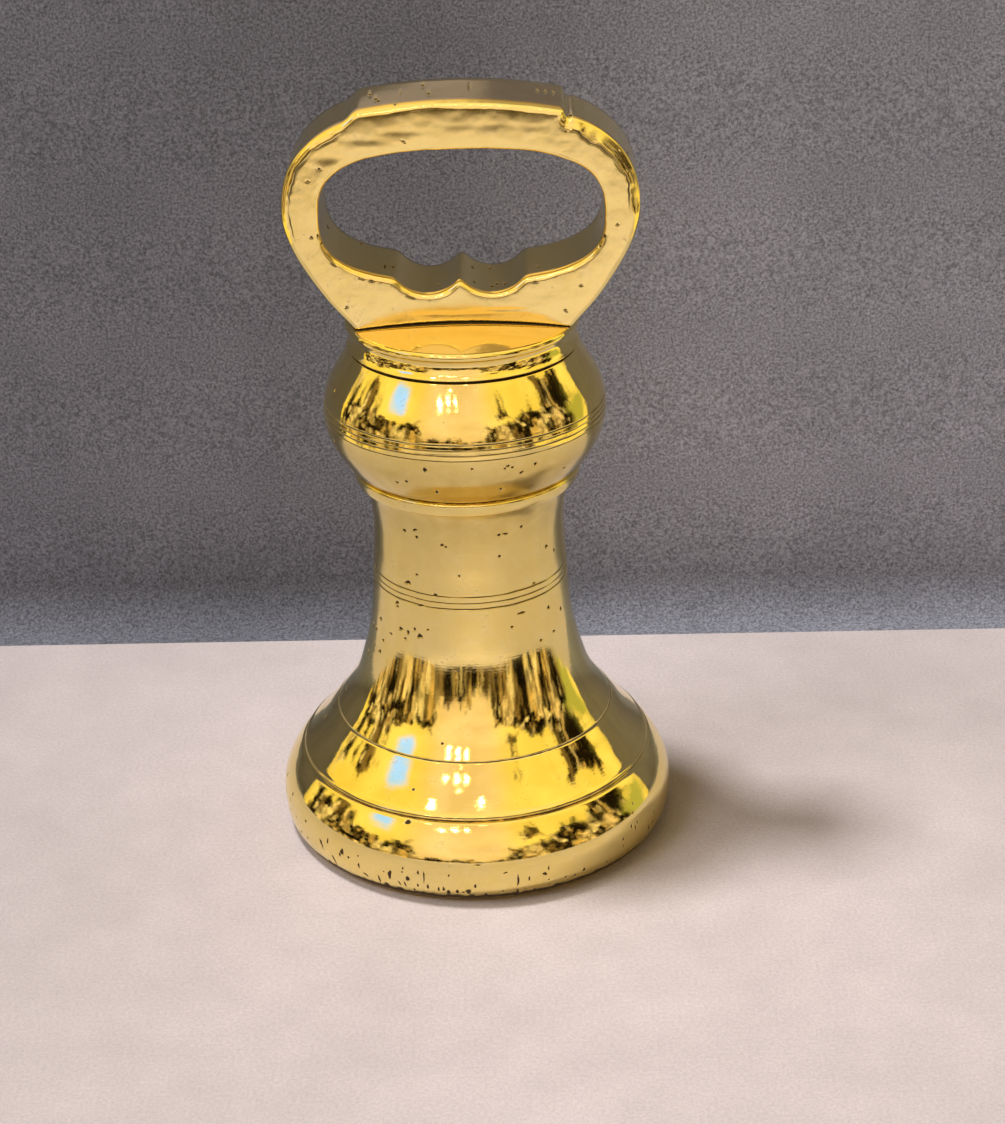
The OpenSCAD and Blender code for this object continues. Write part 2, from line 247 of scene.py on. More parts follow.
# ---------------------------------------------------------------- pits in the body
# Places in the image, width and height in pixels, tilt in degrees
PIT_SPOTS = [
    (436.9, 492.4, 3, 3, 0), (404.2, 530.3, 4, 3, 0), (414.6, 529.9, 6, 2, 25), (416.5, 537, 3, 3, 0),
    (442, 545, 4, 2.5, 10), (445.7, 547, 3, 2, 0), (499, 535, 4, 2, 0), (505.5, 533.8, 6, 1.6, -8),
    (521.4, 526.7, 3, 2.5, 0), (499.6, 556.2, 3, 2.5, 0), (546.4, 546.1, 3, 3, 0), (407.7, 582.2, 6.6, 3.4, 15),
    (416.6, 574.5, 3, 2, 0), (459, 576, 3, 2, 0), (435.3, 594.9, 4, 3, 0), (397, 602.4, 4, 3, 20),
    (397.4, 606.2, 3, 2, 0), (421, 605.4, 6, 2, 14), (521.4, 612.8, 8, 2.2, 0), (548.5, 607.2, 3, 3, 0),
    (534, 583, 3, 2, 0), (380.6, 618.3, 3, 3, 0), (374, 625, 4, 3, 0), (376.5, 628, 2.5, 2, 0),
    (379.8, 650.7, 3, 3, 0), (400.7, 628.4, 4, 3, 0), (419.8, 635.9, 6, 4, 10), (427.8, 629.8, 3, 2, 0),
    (512.1, 626.8, 3, 2, 0), (554, 631, 3, 2, 0), (391, 633.5, 3, 2, 0), (408, 632, 3, 4, 0),
    (405.2, 638.5, 3, 2.5, 0), (414.6, 628.9, 2.5, 3, 0), (541, 640, 3, 2, 0), (383, 640, 2.5, 2.5, 0),
    (424.7, 470.1, 4.5, 4.5, 0), (406.3, 481.6, 3, 3, 0), (397, 482.6, 3, 2.5, 0), (472, 469.2, 3, 2, 0),
    (500.8, 489.3, 3, 2, 0), (508, 466, 4, 2, 0), (512.5, 467.4, 3, 2, 0), (505, 468.6, 2.5, 2, 0),
    (521.5, 472.5, 5, 2, 30), (535.4, 463.8, 3, 3, 0), (564, 468.2, 3, 2, 0),
    (407.9, 822, 6, 5, 20), (413.3, 789.4, 3, 2.5, 0), (442.2, 743.6, 3, 2.5, 0), (346.3, 688.1, 3, 2, 0),
    # the drum's foot, from left to right
    (305.5, 821, 2, 3, 0), (307.4, 837.9, 1.6, 3, 10), (321.1, 843.5, 2.5, 9.5, 25), (327.3, 841, 1.8, 7, -10),
    (334.1, 859.7, 2.2, 10, 22), (341.6, 851.8, 4, 7, -18), (339.5, 854.6, 2, 4, 0), (348.2, 857.4, 2.5, 2.5, 0),
    (357.8, 855.9, 2, 1.6, 0), (358.6, 865.6, 1.8, 6, 0), (365.8, 874.6, 6, 2, -30), (379.2, 878.9, 2, 8, 6),
    (383.3, 871.5, 1.5, 1.5, 0), (389.5, 874.6, 3.6, 10, -8), (387.6, 885.1, 8, 3.2, -35), (393.5, 888.4, 3, 2, -30),
    (402.5, 868.4, 1.6, 3, 0), (401.9, 872.1, 2, 1.6, 0), (399.5, 883.2, 1.5, 5, 25), (405, 884.4, 1.5, 6, 14),
    (407.5, 878.9, 4.5, 5, 0), (402.6, 890, 13, 2, -32), (417.8, 872.7, 2.2, 4, 0), (423.7, 877.1, 1.4, 12, 0),
    (417.8, 885.5, 2, 3.5, 0), (427.8, 887, 2.4, 5, 0), (423.1, 892.6, 3.5, 1.6, 0), (414.5, 889.5, 2, 2, 0),
    (438.6, 889.5, 1.4, 5, 0), (443.6, 889.5, 2.4, 4, 0), (448.6, 892.6, 4, 4, 0), (448.6, 875.8, 1.4, 2.4, 0),
    (457.3, 892, 3.5, 3.5, 0), (463.5, 892.6, 3, 1.5, 0), (468.5, 892.2, 5.5, 5, 0), (475.3, 886.4, 2.6, 4, 0),
    (477.8, 865.2, 5, 1.6, 0), (486, 894.5, 3, 2, 0), (503, 891.4, 2, 1.6, 0), (504.2, 895.2, 7, 2, 10),
    (505.5, 872.9, 5, 1.3, 15), (518.3, 880.5, 2.4, 11, 0), (517.6, 892, 3, 5, 0), (527.2, 892, 4, 1.6, 0),
    (529.4, 878.6, 1.8, 5, 0), (534.5, 889.1, 1.8, 2, 0), (545.1, 873.9, 5.5, 2.6, -28), (548.9, 868.2, 1.6, 4.5, 0),
    (549, 879.6, 1.5, 1.5, 0), (557.2, 885, 7, 3.2, 10), (565.7, 877.1, 2.4, 2.2, 0), (575, 875.4, 2, 3, -20),
    (580.8, 877.3, 4, 2.6, 10), (584.3, 869.7, 2.6, 4, 0), (595.4, 871.2, 8, 2, 15), (607, 862, 1.6, 2.4, 0),
    (623.5, 839.3, 1.8, 3, 0), (623.5, 846.1, 1.4, 2.6, 0), (631.8, 826.3, 1.6, 4, 0), (635.6, 827.6, 1.5, 5, 0),
    (637.5, 821.9, 1.6, 2.6, 0), (649.3, 827, 2.6, 6, 0), (632.4, 812.6, 1.3, 2.4, 0), (633, 803.4, 1.3, 2, 0),
]

rng = np.random.default_rng(417)
PITS = []  # theta, s, half length across, half length along, tilt, depth, three shape phases


def add_pit(th, s, ra, rb, tilt, depth):
    PITS.append((th, s, ra, rb, tilt, depth, rng.uniform(0, 6.28), rng.uniform(0, 6.28), rng.uniform(0.08, 0.2)))


_outer = (S > UNDER_END) & (S < s_near(30.9, 155))
_zz, _ss = PZ[_outer], S[_outer]
_t = np.linspace(560, 900, 6801)
for px, py, w, h, tilt in PIT_SPOTS:
    d = ray(px, py)
    pts = CAM_P[None] + d[None] * _t[:, None]
    rho = np.hypot(pts[:, 0], pts[:, 1])
    lim = np.interp(pts[:, 2], _zz, PR[_outer], left=0, right=0)
    hit = int(np.argmax(rho < lim))
    if rho[hit] >= lim[hit]:
        continue
    x, y, z = pts[hit]
    s0 = float(np.interp(z, _zz, _ss))
    th = math.atan2(x, -y)
    px_mm = _t[hit] / FOCAL
    j = int(s0 / DS)
    # how much the slope and the side of the surface shorten the mark in the image
    n = np.array([NR[j] * math.sin(th), -NR[j] * math.cos(th), NZ[j]])
    along = np.cross(n, np.array([math.cos(th), math.sin(th), 0]))
    fs = max(0.35, np.linalg.norm(along - d * (along @ d)))
    across = np.array([math.cos(th), math.sin(th), 0])
    fa = max(0.35, np.linalg.norm(across - d * (across @ d)))
    size = 0.5 * px_mm
    ra, rb = max(0.26, w * size / fa * 1.06), max(0.26, h * size / fs * 1.06)
    add_pit(th, s0, ra, rb, math.radians(tilt), 0.16 + 0.22 * min(ra, rb))

_front = math.radians(62)
for lo, hi, count, small, tall in ((1.6, 8.5, 46, 0.30, 1.6), (8.5, 16, 30, 0.28, 1.8), (26, 34, 7, 0.28, 1.0),
                                   (38, 60, 16, 0.30, 0.9), (60, 104, 24, 0.32, 0.8), (114, 126, 10, 0.32, 0.9),
                                   (133, 144, 5, 0.28, 0.9)):
    for _ in range(count):
        th = rng.uniform(_front, 2 * np.pi - _front)
        z = rng.uniform(lo, hi)
        ra = small * rng.uniform(0.75, 1.9)
        add_pit((th + np.pi) % (2 * np.pi) - np.pi, float(np.interp(z, _zz, _ss)), ra,
                ra * tall * rng.uniform(0.6, 1.7), rng.uniform(-0.5, 0.5), rng.uniform(0.14, 0.32))
PITS = np.array(PITS)

# ---------------------------------------------------------------- surface of the body
W_BIG, W_MID, W_SMALL = Waves(3, 34.0), Waves(5, 13.0), Waves(7, 5.0)
W_LINE = Waves(9, 9.0)
W_WEAR = Waves(15, 3.0)


def relief(th, s):
    """Height over the turned profile in millimetres, and how dark that spot is: dirt, with painted shade at the foot's
    lower rounding and under the handle's foot.
    """
    r, z = np.interp(s, S, PR), np.interp(s, S, PZ)
    p = np.stack([r * np.sin(th), -r * np.cos(th), z], -1)
    d = 0.016 * W_BIG(p) + 0.0055 * W_MID(p) + 0.0016 * W_SMALL(p)
    g = np.zeros_like(d)
    wob = W_LINE(p)
    for s0, depth, half, lip in LINES:
        q = (s - s0 - 0.03 * wob) / half
        near = np.exp(-q * q)
        k = np.clip(0.9 + 0.22 * wob, 0.35, 1.4)
        d = d - depth * k * near + lip * np.exp(-((np.abs(q) - 1.9) / 0.7) ** 2)
        g = np.maximum(g, np.clip(1.15 * k, 0, 1) * np.exp(-(q * 0.85) ** 2))
    wear = W_WEAR(p)
    for s0, half, amount in GROOVE_DIRT_AND_FOOT_SHADE:
        q = (s - s0) / (half * (1 + 0.22 * wear))
        g = np.maximum(g, amount * np.exp(-q * q))
    for th0, s0, ra, rb, tilt, depth, f1, f2, f3 in PITS:
        m = np.nonzero(np.abs(s - s0) < 2.2 * max(ra, rb) + 0.2)[0]
        if not len(m):
            continue
        r0 = np.interp(s0, S, PR)
        a = ((th[m] - th0 + np.pi) % (2 * np.pi) - np.pi) * r0
        near = np.abs(a) < 2.2 * max(ra, rb) + 0.2
        m, a = m[near], a[near]
        if not len(m):
            continue
        b = s[m] - s0
        u, v = (a * math.cos(tilt) + b * math.sin(tilt)) / ra, (-a * math.sin(tilt) + b * math.cos(tilt)) / rb
        ang = np.arctan2(v, u)
        q = np.hypot(u, v) * (1 + f3 * np.sin(3 * ang + f1) + 0.6 * f3 * np.sin(5 * ang + f2))
        deep = 0.5 * (1 - np.tanh((q - 0.78) / 0.24))
        d[m] -= depth * deep
        g[m] = np.maximum(g[m], np.clip(deep * 1.25, 0, 1))
    # dirt and painted shade in the gap where the handle's foot meets the domed top, and painted shade on the dome under
    # the foot
    on_top = (s > s_near(30.9, 155.2)) & (s < SOCKET_AT)
    line = np.exp(-((np.abs(p[:, 1]) - 12.75) / 0.32) ** 2) * (np.abs(p[:, 0]) < 30)
    shade_under_foot = (np.abs(p[:, 1]) < 12.75) & (np.abs(p[:, 0]) < 29.5)
    g = np.where(on_top, np.maximum(g, np.maximum(line, shade_under_foot * 1.0)), g)
    hidden = (s < UNDER_END) | (s > SOCKET_AT)
    fade = np.where(hidden, 0.0, np.clip(np.minimum(s - UNDER_END, SOCKET_AT - s) / 2.0, 0, 1))
    return d * np.maximum(fade, (~hidden) * (d < -0.05)), g


def body_point(th, s):
    d, g = relief(th, s)
    r = np.interp(s, S, PR) + d * np.interp(s, S, NR)
    z = np.maximum(np.interp(s, S, PZ) + d * np.interp(s, S, NZ), 0.0)  # the rim stands flat
    return np.stack([r * np.sin(th), -r * np.cos(th), z], -1), g


# Rings: close together at lines and corners, far apart elsewhere
gap = np.clip(0.10 / np.maximum(_kappa, 1e-6), 0.11, 1.65)
for s0, _, half, _ in LINES:
    gap = np.minimum(gap, half * 0.5 + 0.30 * np.abs(S - s0))
for s0, half, _ in GROOVE_DIRT_AND_FOOT_SHADE:
    gap = np.minimum(gap, 0.12 + 0.30 * np.abs(S - s0))
joint_band = (S > s_near(30.9, 155.2)) & (S < SOCKET_AT)
gap = np.where(joint_band, np.minimum(gap, 0.75), gap)
gap = np.where((S < UNDER_END - 1.5) | (S > SOCKET_AT + 1), np.maximum(gap, 0.6) * 1.8, gap)
for i in range(1, len(gap)):
    gap[i] = min(gap[i], gap[i - 1] + 0.30 * DS)
for i in range(len(gap) - 2, -1, -1):
    gap[i] = min(gap[i], gap[i + 1] + 0.30 * DS)
_count = np.concatenate([[0], np.cumsum(DS / gap)[:-1]])
N_S = int(math.ceil(_count[-1]))
ring_s = np.interp(np.linspace(0, _count[-1], N_S + 1), _count, S)
ring_s[0], ring_s[-1] = 0.0, S_END
SUB = 8
N_TH = 240
fine_s = np.interp(np.arange(N_S * SUB + 1) / SUB, np.arange(N_S + 1), ring_s)
NI, NJ = N_TH * SUB, N_S * SUB


def theta_of(i):
    return np.asarray(i, float) / NI * 2 * np.pi - np.pi


def split_cells(cells):
    """One pass of splitting the cells that are too large for the pits near them."""
    i0, i1, j0, j1 = cells.T
    s_lo, s_hi = fine_s[j0], fine_s[j1]
    sm = 0.5 * (s_lo + s_hi)
    r = np.interp(sm, S, PR)
    tm = theta_of(0.5 * (i0 + i1))
    wide, tall = (i1 - i0) / NI * 2 * np.pi * r, s_hi - s_lo
    want = np.full(len(cells), 9.0)
    for th0, s0, ra, rb, tilt, depth, *_ in PITS:
        reach = max(ra, rb) + 2.6
        m = np.nonzero(np.abs(sm - s0) < reach + 1)[0]
        r0 = np.interp(s0, S, PR)
        a = np.abs((tm[m] - th0 + np.pi) % (2 * np.pi) - np.pi) * r0
        near = a < reach + 1
        m, a = m[near], a[near]
        b = np.abs(sm[m] - s0)
        da = np.maximum(a - wide[m] / 2, 0)
        db = np.maximum(b - tall[m] / 2, 0)
        far = np.maximum(np.hypot(da, db) - max(ra, rb) * 1.15, 0)
        want[m] = np.minimum(want[m], min(ra, rb) * 0.42 + 0.75 * far)
    cut_i = (wide > want * 1.35) & (i1 - i0 > 1)
    cut_j = (tall > want * 1.35) & (j1 - j0 > 1)
    im, jm = (i0 + i1) // 2, (j0 + j1) // 2
    out = [cells[~cut_i & ~cut_j]]
    a = cut_i & ~cut_j
    out += [np.stack([i0[a], im[a], j0[a], j1[a]], 1), np.stack([im[a], i1[a], j0[a], j1[a]], 1)]
    a = cut_j & ~cut_i
    out += [np.stack([i0[a], i1[a], j0[a], jm[a]], 1), np.stack([i0[a], i1[a], jm[a], j1[a]], 1)]
    a = cut_i & cut_j
    out += [np.stack([i0[a], im[a], j0[a], jm[a]], 1), np.stack([im[a], i1[a], j0[a], jm[a]], 1),
            np.stack([i0[a], im[a], jm[a], j1[a]], 1), np.stack([im[a], i1[a], jm[a], j1[a]], 1)]
    return np.concatenate(out)


ii, jj = np.meshgrid(np.arange(N_TH), np.arange(N_S), indexing="ij")
cells = np.stack([ii.ravel() * SUB, ii.ravel() * SUB + SUB, jj.ravel() * SUB, jj.ravel() * SUB + SUB], 1)
for _ in range(3):
    cells = split_cells(cells)

by_i, by_j = {}, {}
for i0, i1, j0, j1 in cells.tolist():
    for i in (i0, i1):
        by_i.setdefault(i % NI, set()).update((j0, j1))
    for j in (j0, j1):
        by_j.setdefault(j, set()).update((i0, i1))
by_i = {k: sorted(v) for k, v in by_i.items()}
by_j = {k: sorted(v) for k, v in by_j.items()}


def between(seq, a, b):
    return seq[bisect.bisect_right(seq, a):bisect.bisect_left(seq, b)]


index, lattice, faces, loops = {}, [], [], []


def vert(i, j):
    key = (0, j) if j in (0, NJ) else (i % NI, j)
    k = index.get(key)
    if k is None:
        k = index[key] = len(lattice)
        lattice.append(key)
    return k


for i0, i1, j0, j1 in cells.tolist():
    walk = [(i0, j0)] + [(i, j0) for i in between(by_j[j0], i0, i1)] + [(i1, j0)]
    walk += [(i1, j) for j in between(by_i[i1 % NI], j0, j1)] + [(i1, j1)]
    walk += [(i, j1) for i in reversed(between(by_j[j1], i0, i1))] + [(i0, j1)]
    walk += [(i0, j) for j in reversed(between(by_i[i0 % NI], j0, j1))]
    f, uv = [], []
    for i, j in walk:
        k = vert(i, j)
        if k not in f:
            f.append(k)
            uv.append((i / NI, fine_s[j] / S_END))
    if len(f) >= 3:
        faces.append(f)
        loops += uv
lattice = np.array(lattice)
th, ss = theta_of(lattice[:, 0]), fine_s[lattice[:, 1]]
co, dirt_and_shade = body_point(th, ss)
e = 0.03
de = e / np.maximum(np.interp(ss, S, PR), 0.8)
pa, pb = body_point(th + de, ss)[0], body_point(th - de, ss)[0]
pc, pd = body_point(th, np.minimum(ss + e, S_END))[0], body_point(th, np.maximum(ss - e, 0))[0]
no = np.cross(pa - pb, pc - pd)
no /= np.maximum(np.linalg.norm(no, axis=1), 1e-12)[:, None]
pole = (lattice[:, 1] == 0) | (lattice[:, 1] == NJ)
for k in np.nonzero(pole)[0]:
    co[k, 0] = co[k, 1] = 0.0
    no[k] = (0, 0, -1.0) if lattice[k, 1] == 0 else (0, 0, 1.0)
body = make_object("bell_body_finished", co, faces, loops, dirt_and_shade, no)
print("body", len(co), "vertices", sum(len(f) - 2 for f in faces), "triangles")

# ---------------------------------------------------------------- handle
T2 = 12.75
LOOP_X, LOOP_Z, LOOP_A, LOOP_UP, LOOP_DN = 0.9, 186.0, 47.4, 29.9, 47.5
HOLE_X, HOLE_Z, HOLE_A, HOLE_B = 1.15, 186.5, 37.85, 18.0
PAD_TOP, PAD_R = 217.2, 150.0


def pad_z(x):
    return PAD_TOP - PAD_R + np.sqrt(PAD_R ** 2 - np.asarray(x, float) ** 2)


def loop_upper(x):
    return LOOP_Z + LOOP_UP * (1 - np.abs((x - LOOP_X) / LOOP_A) ** 2.6) ** (1 / 2.6)


def loop_lower_x(z, side):
    return LOOP_X + side * LOOP_A * (1 - ((LOOP_Z - z) / LOOP_DN) ** 1.5) ** (1 / 1.5)


def oval_arc(a, b, n, t):
    return np.stack([LOOP_X + a * np.sign(np.cos(t)) * np.abs(np.cos(t)) ** (2 / n),
                     LOOP_Z + b * np.sign(np.sin(t)) * np.abs(np.sin(t)) ** (2 / n)], 1)


def foot_corner(side):
    z = 155.2
    for _ in range(30):
        z = float(crown_at(abs(loop_lower_x(z, side))))
    return float(loop_lower_x(z, side)), z


fr, fl = foot_corner(1), foot_corner(-1)
zs = np.linspace(fr[1], LOOP_Z - 0.4, 300)
outline = [np.stack([loop_lower_x(zs, 1), zs], 1)]
t = np.linspace(0.002, np.pi / 2, 900)
up_r = oval_arc(LOOP_A, LOOP_UP, 2.6, t)
up_r = up_r[(up_r[:, 0] > 29.35)]
outline.append(up_r)
outline.append(np.array([[29.0, 212.9], [28.75, 213.9], [28.3, 214.4]]))
xs = np.linspace(27.6, -25.4, 400)
outline.append(np.stack([xs, pad_z(xs)], 1))
outline.append(np.array([[-26.3, 214.55], [-27.2, 213.9], [-28.0, 213.1], [-28.7, 212.5]]))
up_l = oval_arc(LOOP_A, LOOP_UP, 2.6, np.linspace(np.pi / 2, np.pi - 0.002, 900))
up_l = up_l[(up_l[:, 0] < -29.6)]
outline.append(up_l)
zs = np.linspace(LOOP_Z - 0.4, fl[1], 300)
outline.append(np.stack([loop_lower_x(zs, -1), zs], 1))
xs = np.linspace(fl[0], fr[0], 400)[1:-1]
outline.append(np.stack([xs, crown_at(xs)], 1))
outline = np.concatenate(outline)
outline = np.concatenate([outline, outline[:1]])
arc = np.concatenate([[0], np.cumsum(np.hypot(*np.diff(outline, axis=0).T))])
dd = 0.05
fine = np.arange(0, arc[-1], dd)
outer = np.stack([np.interp(fine, arc, outline[:, 0]), np.interp(fine, arc, outline[:, 1])], 1)
outer = gauss(outer, 0.45 / dd, wrap=True)
# the small notch beside the pad's right end
for cx, cz, dx, dz, rr in ((29.9, 212.7, -0.25, -0.55, 0.9),):
    w = np.exp(-(((outer[:, 0] - cx) ** 2 + (outer[:, 1] - cz) ** 2) / rr ** 2))
    outer = outer + w[:, None] * np.array([dx, dz])
d1 = np.roll(outer, -1, 0) - np.roll(outer, 1, 0)
outer_n = np.stack([d1[:, 1], -d1[:, 0]], 1)
outer_n /= np.linalg.norm(outer_n, axis=1)[:, None]
outer_n = gauss(outer_n, 0.15 / dd, wrap=True)
outer_a = np.unwrap(np.arctan2(outer[:, 1] - HOLE_Z, outer[:, 0] - HOLE_X))


def hole_radius(a):
    c, s = np.cos(a), np.sin(a)
    r0 = (np.abs(c / HOLE_A) ** 2.8 + np.abs(s / HOLE_B) ** 2.8) ** (-1 / 2.8)
    parts = [r0]
    for cx in (-8.5, 8.7):
        vx, vz = cx - HOLE_X, 174.7 - HOLE_Z
        along = vx * c + vz * s
        off = vx * vx + vz * vz - along * along
        far = along + np.sqrt(np.maximum(100.0 - off, 0))
        parts.append(np.where((off < 100) & (along > 0), far, 0.0))
    k = 0.55
    m = np.max(parts, 0)
    return m + k * np.log(sum(np.exp((q - m) / k) for q in parts)) - 0.0


aa = np.linspace(0, 2 * np.pi, 20001)[:-1]
hr = hole_radius(aa)
hole = np.stack([HOLE_X + hr * np.cos(aa), HOLE_Z + hr * np.sin(aa)], 1)
harc = np.concatenate([[0], np.cumsum(np.hypot(*np.diff(np.concatenate([hole, hole[:1]]), axis=0).T))])
hf = np.arange(0, harc[-1], dd)
hole_c = np.concatenate([hole, hole[:1]])
inner = np.stack([np.interp(hf, harc, hole_c[:, 0]), np.interp(hf, harc, hole_c[:, 1])], 1)
inner = gauss(inner, 0.42 / dd, wrap=True)
d1 = np.roll(inner, -1, 0) - np.roll(inner, 1, 0)
inner_n = np.stack([-d1[:, 1], d1[:, 0]], 1)  # towards the middle of the hole
inner_n /= np.linalg.norm(inner_n, axis=1)[:, None]
inner_a = np.unwrap(np.arctan2(inner[:, 1] - HOLE_Z, inner[:, 0] - HOLE_X))


def along_angle(angles, table_a, values):
    """Values of a closed curve at the given angles about the middle of the hole."""
    order = np.argsort(np.mod(table_a, 2 * np.pi))
    ta = np.mod(table_a, 2 * np.pi)[order]
    ta = np.concatenate([ta[-1:] - 2 * np.pi, ta, ta[:1] + 2 * np.pi])
    out = []
    for col in values.T:
        c = col[order]
        out.append(np.interp(np.mod(angles, 2 * np.pi), ta, np.concatenate([c[-1:], c, c[:1]])))
    return np.stack(out, 1)


probe = np.linspace(0, 2 * np.pi, 6001)
po = along_angle(probe, outer_a, outer)
pi_ = along_angle(probe, inner_a, inner)
weight = np.hypot(*np.diff(po, axis=0).T) + 0.75 * np.hypot(*np.diff(pi_, axis=0).T) + 0.006
weight = gauss(weight, 3)
cum = np.concatenate([[0], np.cumsum(weight)])
N_A = 900
ang = np.interp(np.arange(N_A) / N_A * cum[-1], cum, probe)
O, ON = along_angle(ang, outer_a, outer), along_angle(ang, outer_a, outer_n)
H, HN = along_angle(ang, inner_a, inner), along_angle(ang, inner_a, inner_n)
ON /= np.linalg.norm(ON, axis=1)[:, None]
HN /= np.linalg.norm(HN, axis=1)[:, None]

x, z = O[:, 0], O[:, 1]
on_foot = (z < crown_at(np.minimum(np.abs(x), 60)) + 0.5) & (np.abs(x) < 29.6)
foot_w = gauss(on_foot.astype(float), 3, wrap=True)
on_pad = (np.abs(x) < 28.3) & (z > 213)
W1, W2, W3 = Waves(21, 11.0), Waves(23, 3.6), Waves(25, 1.5)
p3 = np.stack([x, np.full_like(x, -T2), z], 1)
n1, n2, n3 = W1(p3), W2(p3), W3(p3)
# width of the front edge's rounding along the face, and its depth through the thickness
right_bevel = gauss(step(27.8, 31.0, x) * step(184, 193, z) * (1 - step(212.2, 213.2, z)), 2, wrap=True)
left_limb = step(-28, -33, x) * step(176, 186, z)
in_f = 1.75 + 0.10 * n1 + 0.06 * n2
in_f = in_f + right_bevel * (1.25 + 0.22 * n1 + 0.08 * n2) + left_limb * (0.30 + 0.06 * n2)
dp_f = 1.75 + 0.12 * n1
dp_f = dp_f - right_bevel * 0.25
low = 1 - step(160, 172, z)
in_f = in_f * (1 - 0.35 * low)
dp_f = dp_f * (1 - 0.35 * low)
foot_round = 1.05 - 0.60 * (np.abs(x) / 29.0) ** 2
in_f = in_f * (1 - foot_w) + foot_w * foot_round
dp_f = dp_f * (1 - foot_w) + foot_w * 0.70
flat_f = np.clip(0.15 + 0.70 * right_bevel, 0, 1) * (1 - foot_w) + 0.35 * foot_w
q3 = np.stack([x, np.full_like(x, T2), z], 1)
in_b = (1.6 + 0.12 * W1(q3) + 0.08 * W2(q3)) * (1 - 0.35 * low) * (1 - foot_w) + foot_w * foot_round
dp_b = (1.6 + 0.10 * W1(q3)) * (1 - 0.35 * low) * (1 - foot_w) + foot_w * 0.5
hx, hz = H[:, 0], H[:, 1]
hp = np.stack([hx, np.full_like(hx, -T2), hz], 1)
hole_low = 1 - step(172, 186, hz)
ch_f = 0.62 + 0.09 * W1(hp) + 0.05 * W2(hp) + 0.80 * hole_low
ch_b = 0.65 + 0.10 * W1(hp * [1, -1, 1]) + 0.35 * hole_low
ch_f, ch_b = gauss(ch_f, 2, wrap=True), gauss(ch_b, 2, wrap=True)


def edge_row(base, normal, inset, depth, flat, t, sign):
    """A row of an edge: t goes from the band (0) to the face (1)."""
    a = 0.5 * np.pi * t
    inn = (1 - flat) * (1 - math.cos(a)) + flat * t
    dep = (1 - flat) * (1 - math.sin(a)) + flat * (1 - t)
    q = base - normal * (inset * inn)[:, None]
    return np.stack([q[:, 0], sign * (T2 - depth * dep), q[:, 1]], 1)


rows, kinds = [], []


def add(row, kind):
    rows.append(row)
    kinds.append(kind)


NB = 8
one = np.zeros(N_A)
for k in range(NB + 1):  # outer band, back to front
    f = k / NB
    yy = (T2 - dp_b) * (1 - f) - (T2 - dp_f) * f
    add(np.stack([O[:, 0], yy, O[:, 1]], 1), "band")
NE = 7
for k in range(1, NE + 1):
    add(edge_row(O, ON, in_f, dp_f, flat_f, k / NE, -1), "edge")
O_f = O - ON * in_f[:, None]
H_f = H - HN * ch_f[:, None]
face_t = np.concatenate([[0.02, 0.05], np.linspace(0.09, 0.91, 21), [0.95, 0.98]])
for f in face_t:
    q = O_f * (1 - f) + H_f * f
    add(np.stack([q[:, 0], np.full(N_A, -T2), q[:, 1]], 1), "face")
NC = 5
for k in range(NC, 0, -1):
    add(edge_row(H, HN, ch_f, ch_f * 0.9, one + 0.25, k / NC, -1), "lip")
NW = 13
for k in range(NW + 1):  # wall of the hole, front to back
    f = k / NW
    yy = -(T2 - ch_f * 0.9) * (1 - f) + (T2 - ch_b * 0.9) * f
    add(np.stack([H[:, 0], yy, H[:, 1]], 1), "wall")
for k in range(1, NC + 1):
    add(edge_row(H, HN, ch_b, ch_b * 0.9, one + 0.25, k / NC, 1), "lip")
O_b = O - ON * in_b[:, None]
H_b = H - HN * ch_b[:, None]
for f in face_t[::-1]:
    q = O_b * (1 - f) + H_b * f
    add(np.stack([q[:, 0], np.full(N_A, T2), q[:, 1]], 1), "face")
for k in range(NE, 0, -1):
    add(edge_row(O, ON, in_b, dp_b, one, k / NE, 1), "edge")
G = np.stack(rows, 1)  # N_A, M, 3
M_ROWS = G.shape[1]
kinds = np.array(kinds)

# The foot follows the domed top, with a hair's gap
dome_here = crown_at(np.minimum(np.abs(G[..., 0]), 60))
dome_true = crown_at(np.minimum(np.hypot(G[..., 0], G[..., 1]), 60))
blend = 1 - step(0.0, 3.0, G[..., 2] - dome_here)
G[..., 2] += (dome_true - dome_here) * blend + 0.04 * blend


def grid_normals(g):
    a = np.roll(g, -1, 0) - np.roll(g, 1, 0)
    b = np.roll(g, -1, 1) - np.roll(g, 1, 1)
    n = np.cross(b, a)
    return n / np.maximum(np.linalg.norm(n, axis=2), 1e-9)[..., None]


GN = grid_normals(G)
if (GN[:, 30, 1] > 0).mean() > 0.5:  # a row of the front face has to look forward
    GN = -GN
FLIP = (grid_normals(G)[:, 30, 1] > 0).mean() > 0.5

flatp = G.reshape(-1, 3)
U1, U2, U3 = Waves(31, 24.0), Waves(33, 8.0), Waves(35, 3.0)
U_BLOT = Waves(64, 4.2)
height = (0.030 * U1(flatp) + 0.010 * U2(flatp) + 0.0022 * U3(flatp)).reshape(G.shape[:2])
handle_dirt_shade = np.zeros(G.shape[:2])
front = (kinds == "face")[None, :] & (G[..., 1] < 0)
# a face worn a little round towards its edges


def distance_to(curve, pts):
    curve = curve.astype(np.float32)
    out = np.empty(len(pts), np.float32)
    for k in range(0, len(pts), 4000):
        q = pts[k:k + 4000].astype(np.float32)
        dxy = (q[:, None, 0] - curve[None, :, 0]) ** 2 + (q[:, None, 1] - curve[None, :, 1]) ** 2
        out[k:k + 4000] = dxy.min(1)
    return np.sqrt(out).astype(float)


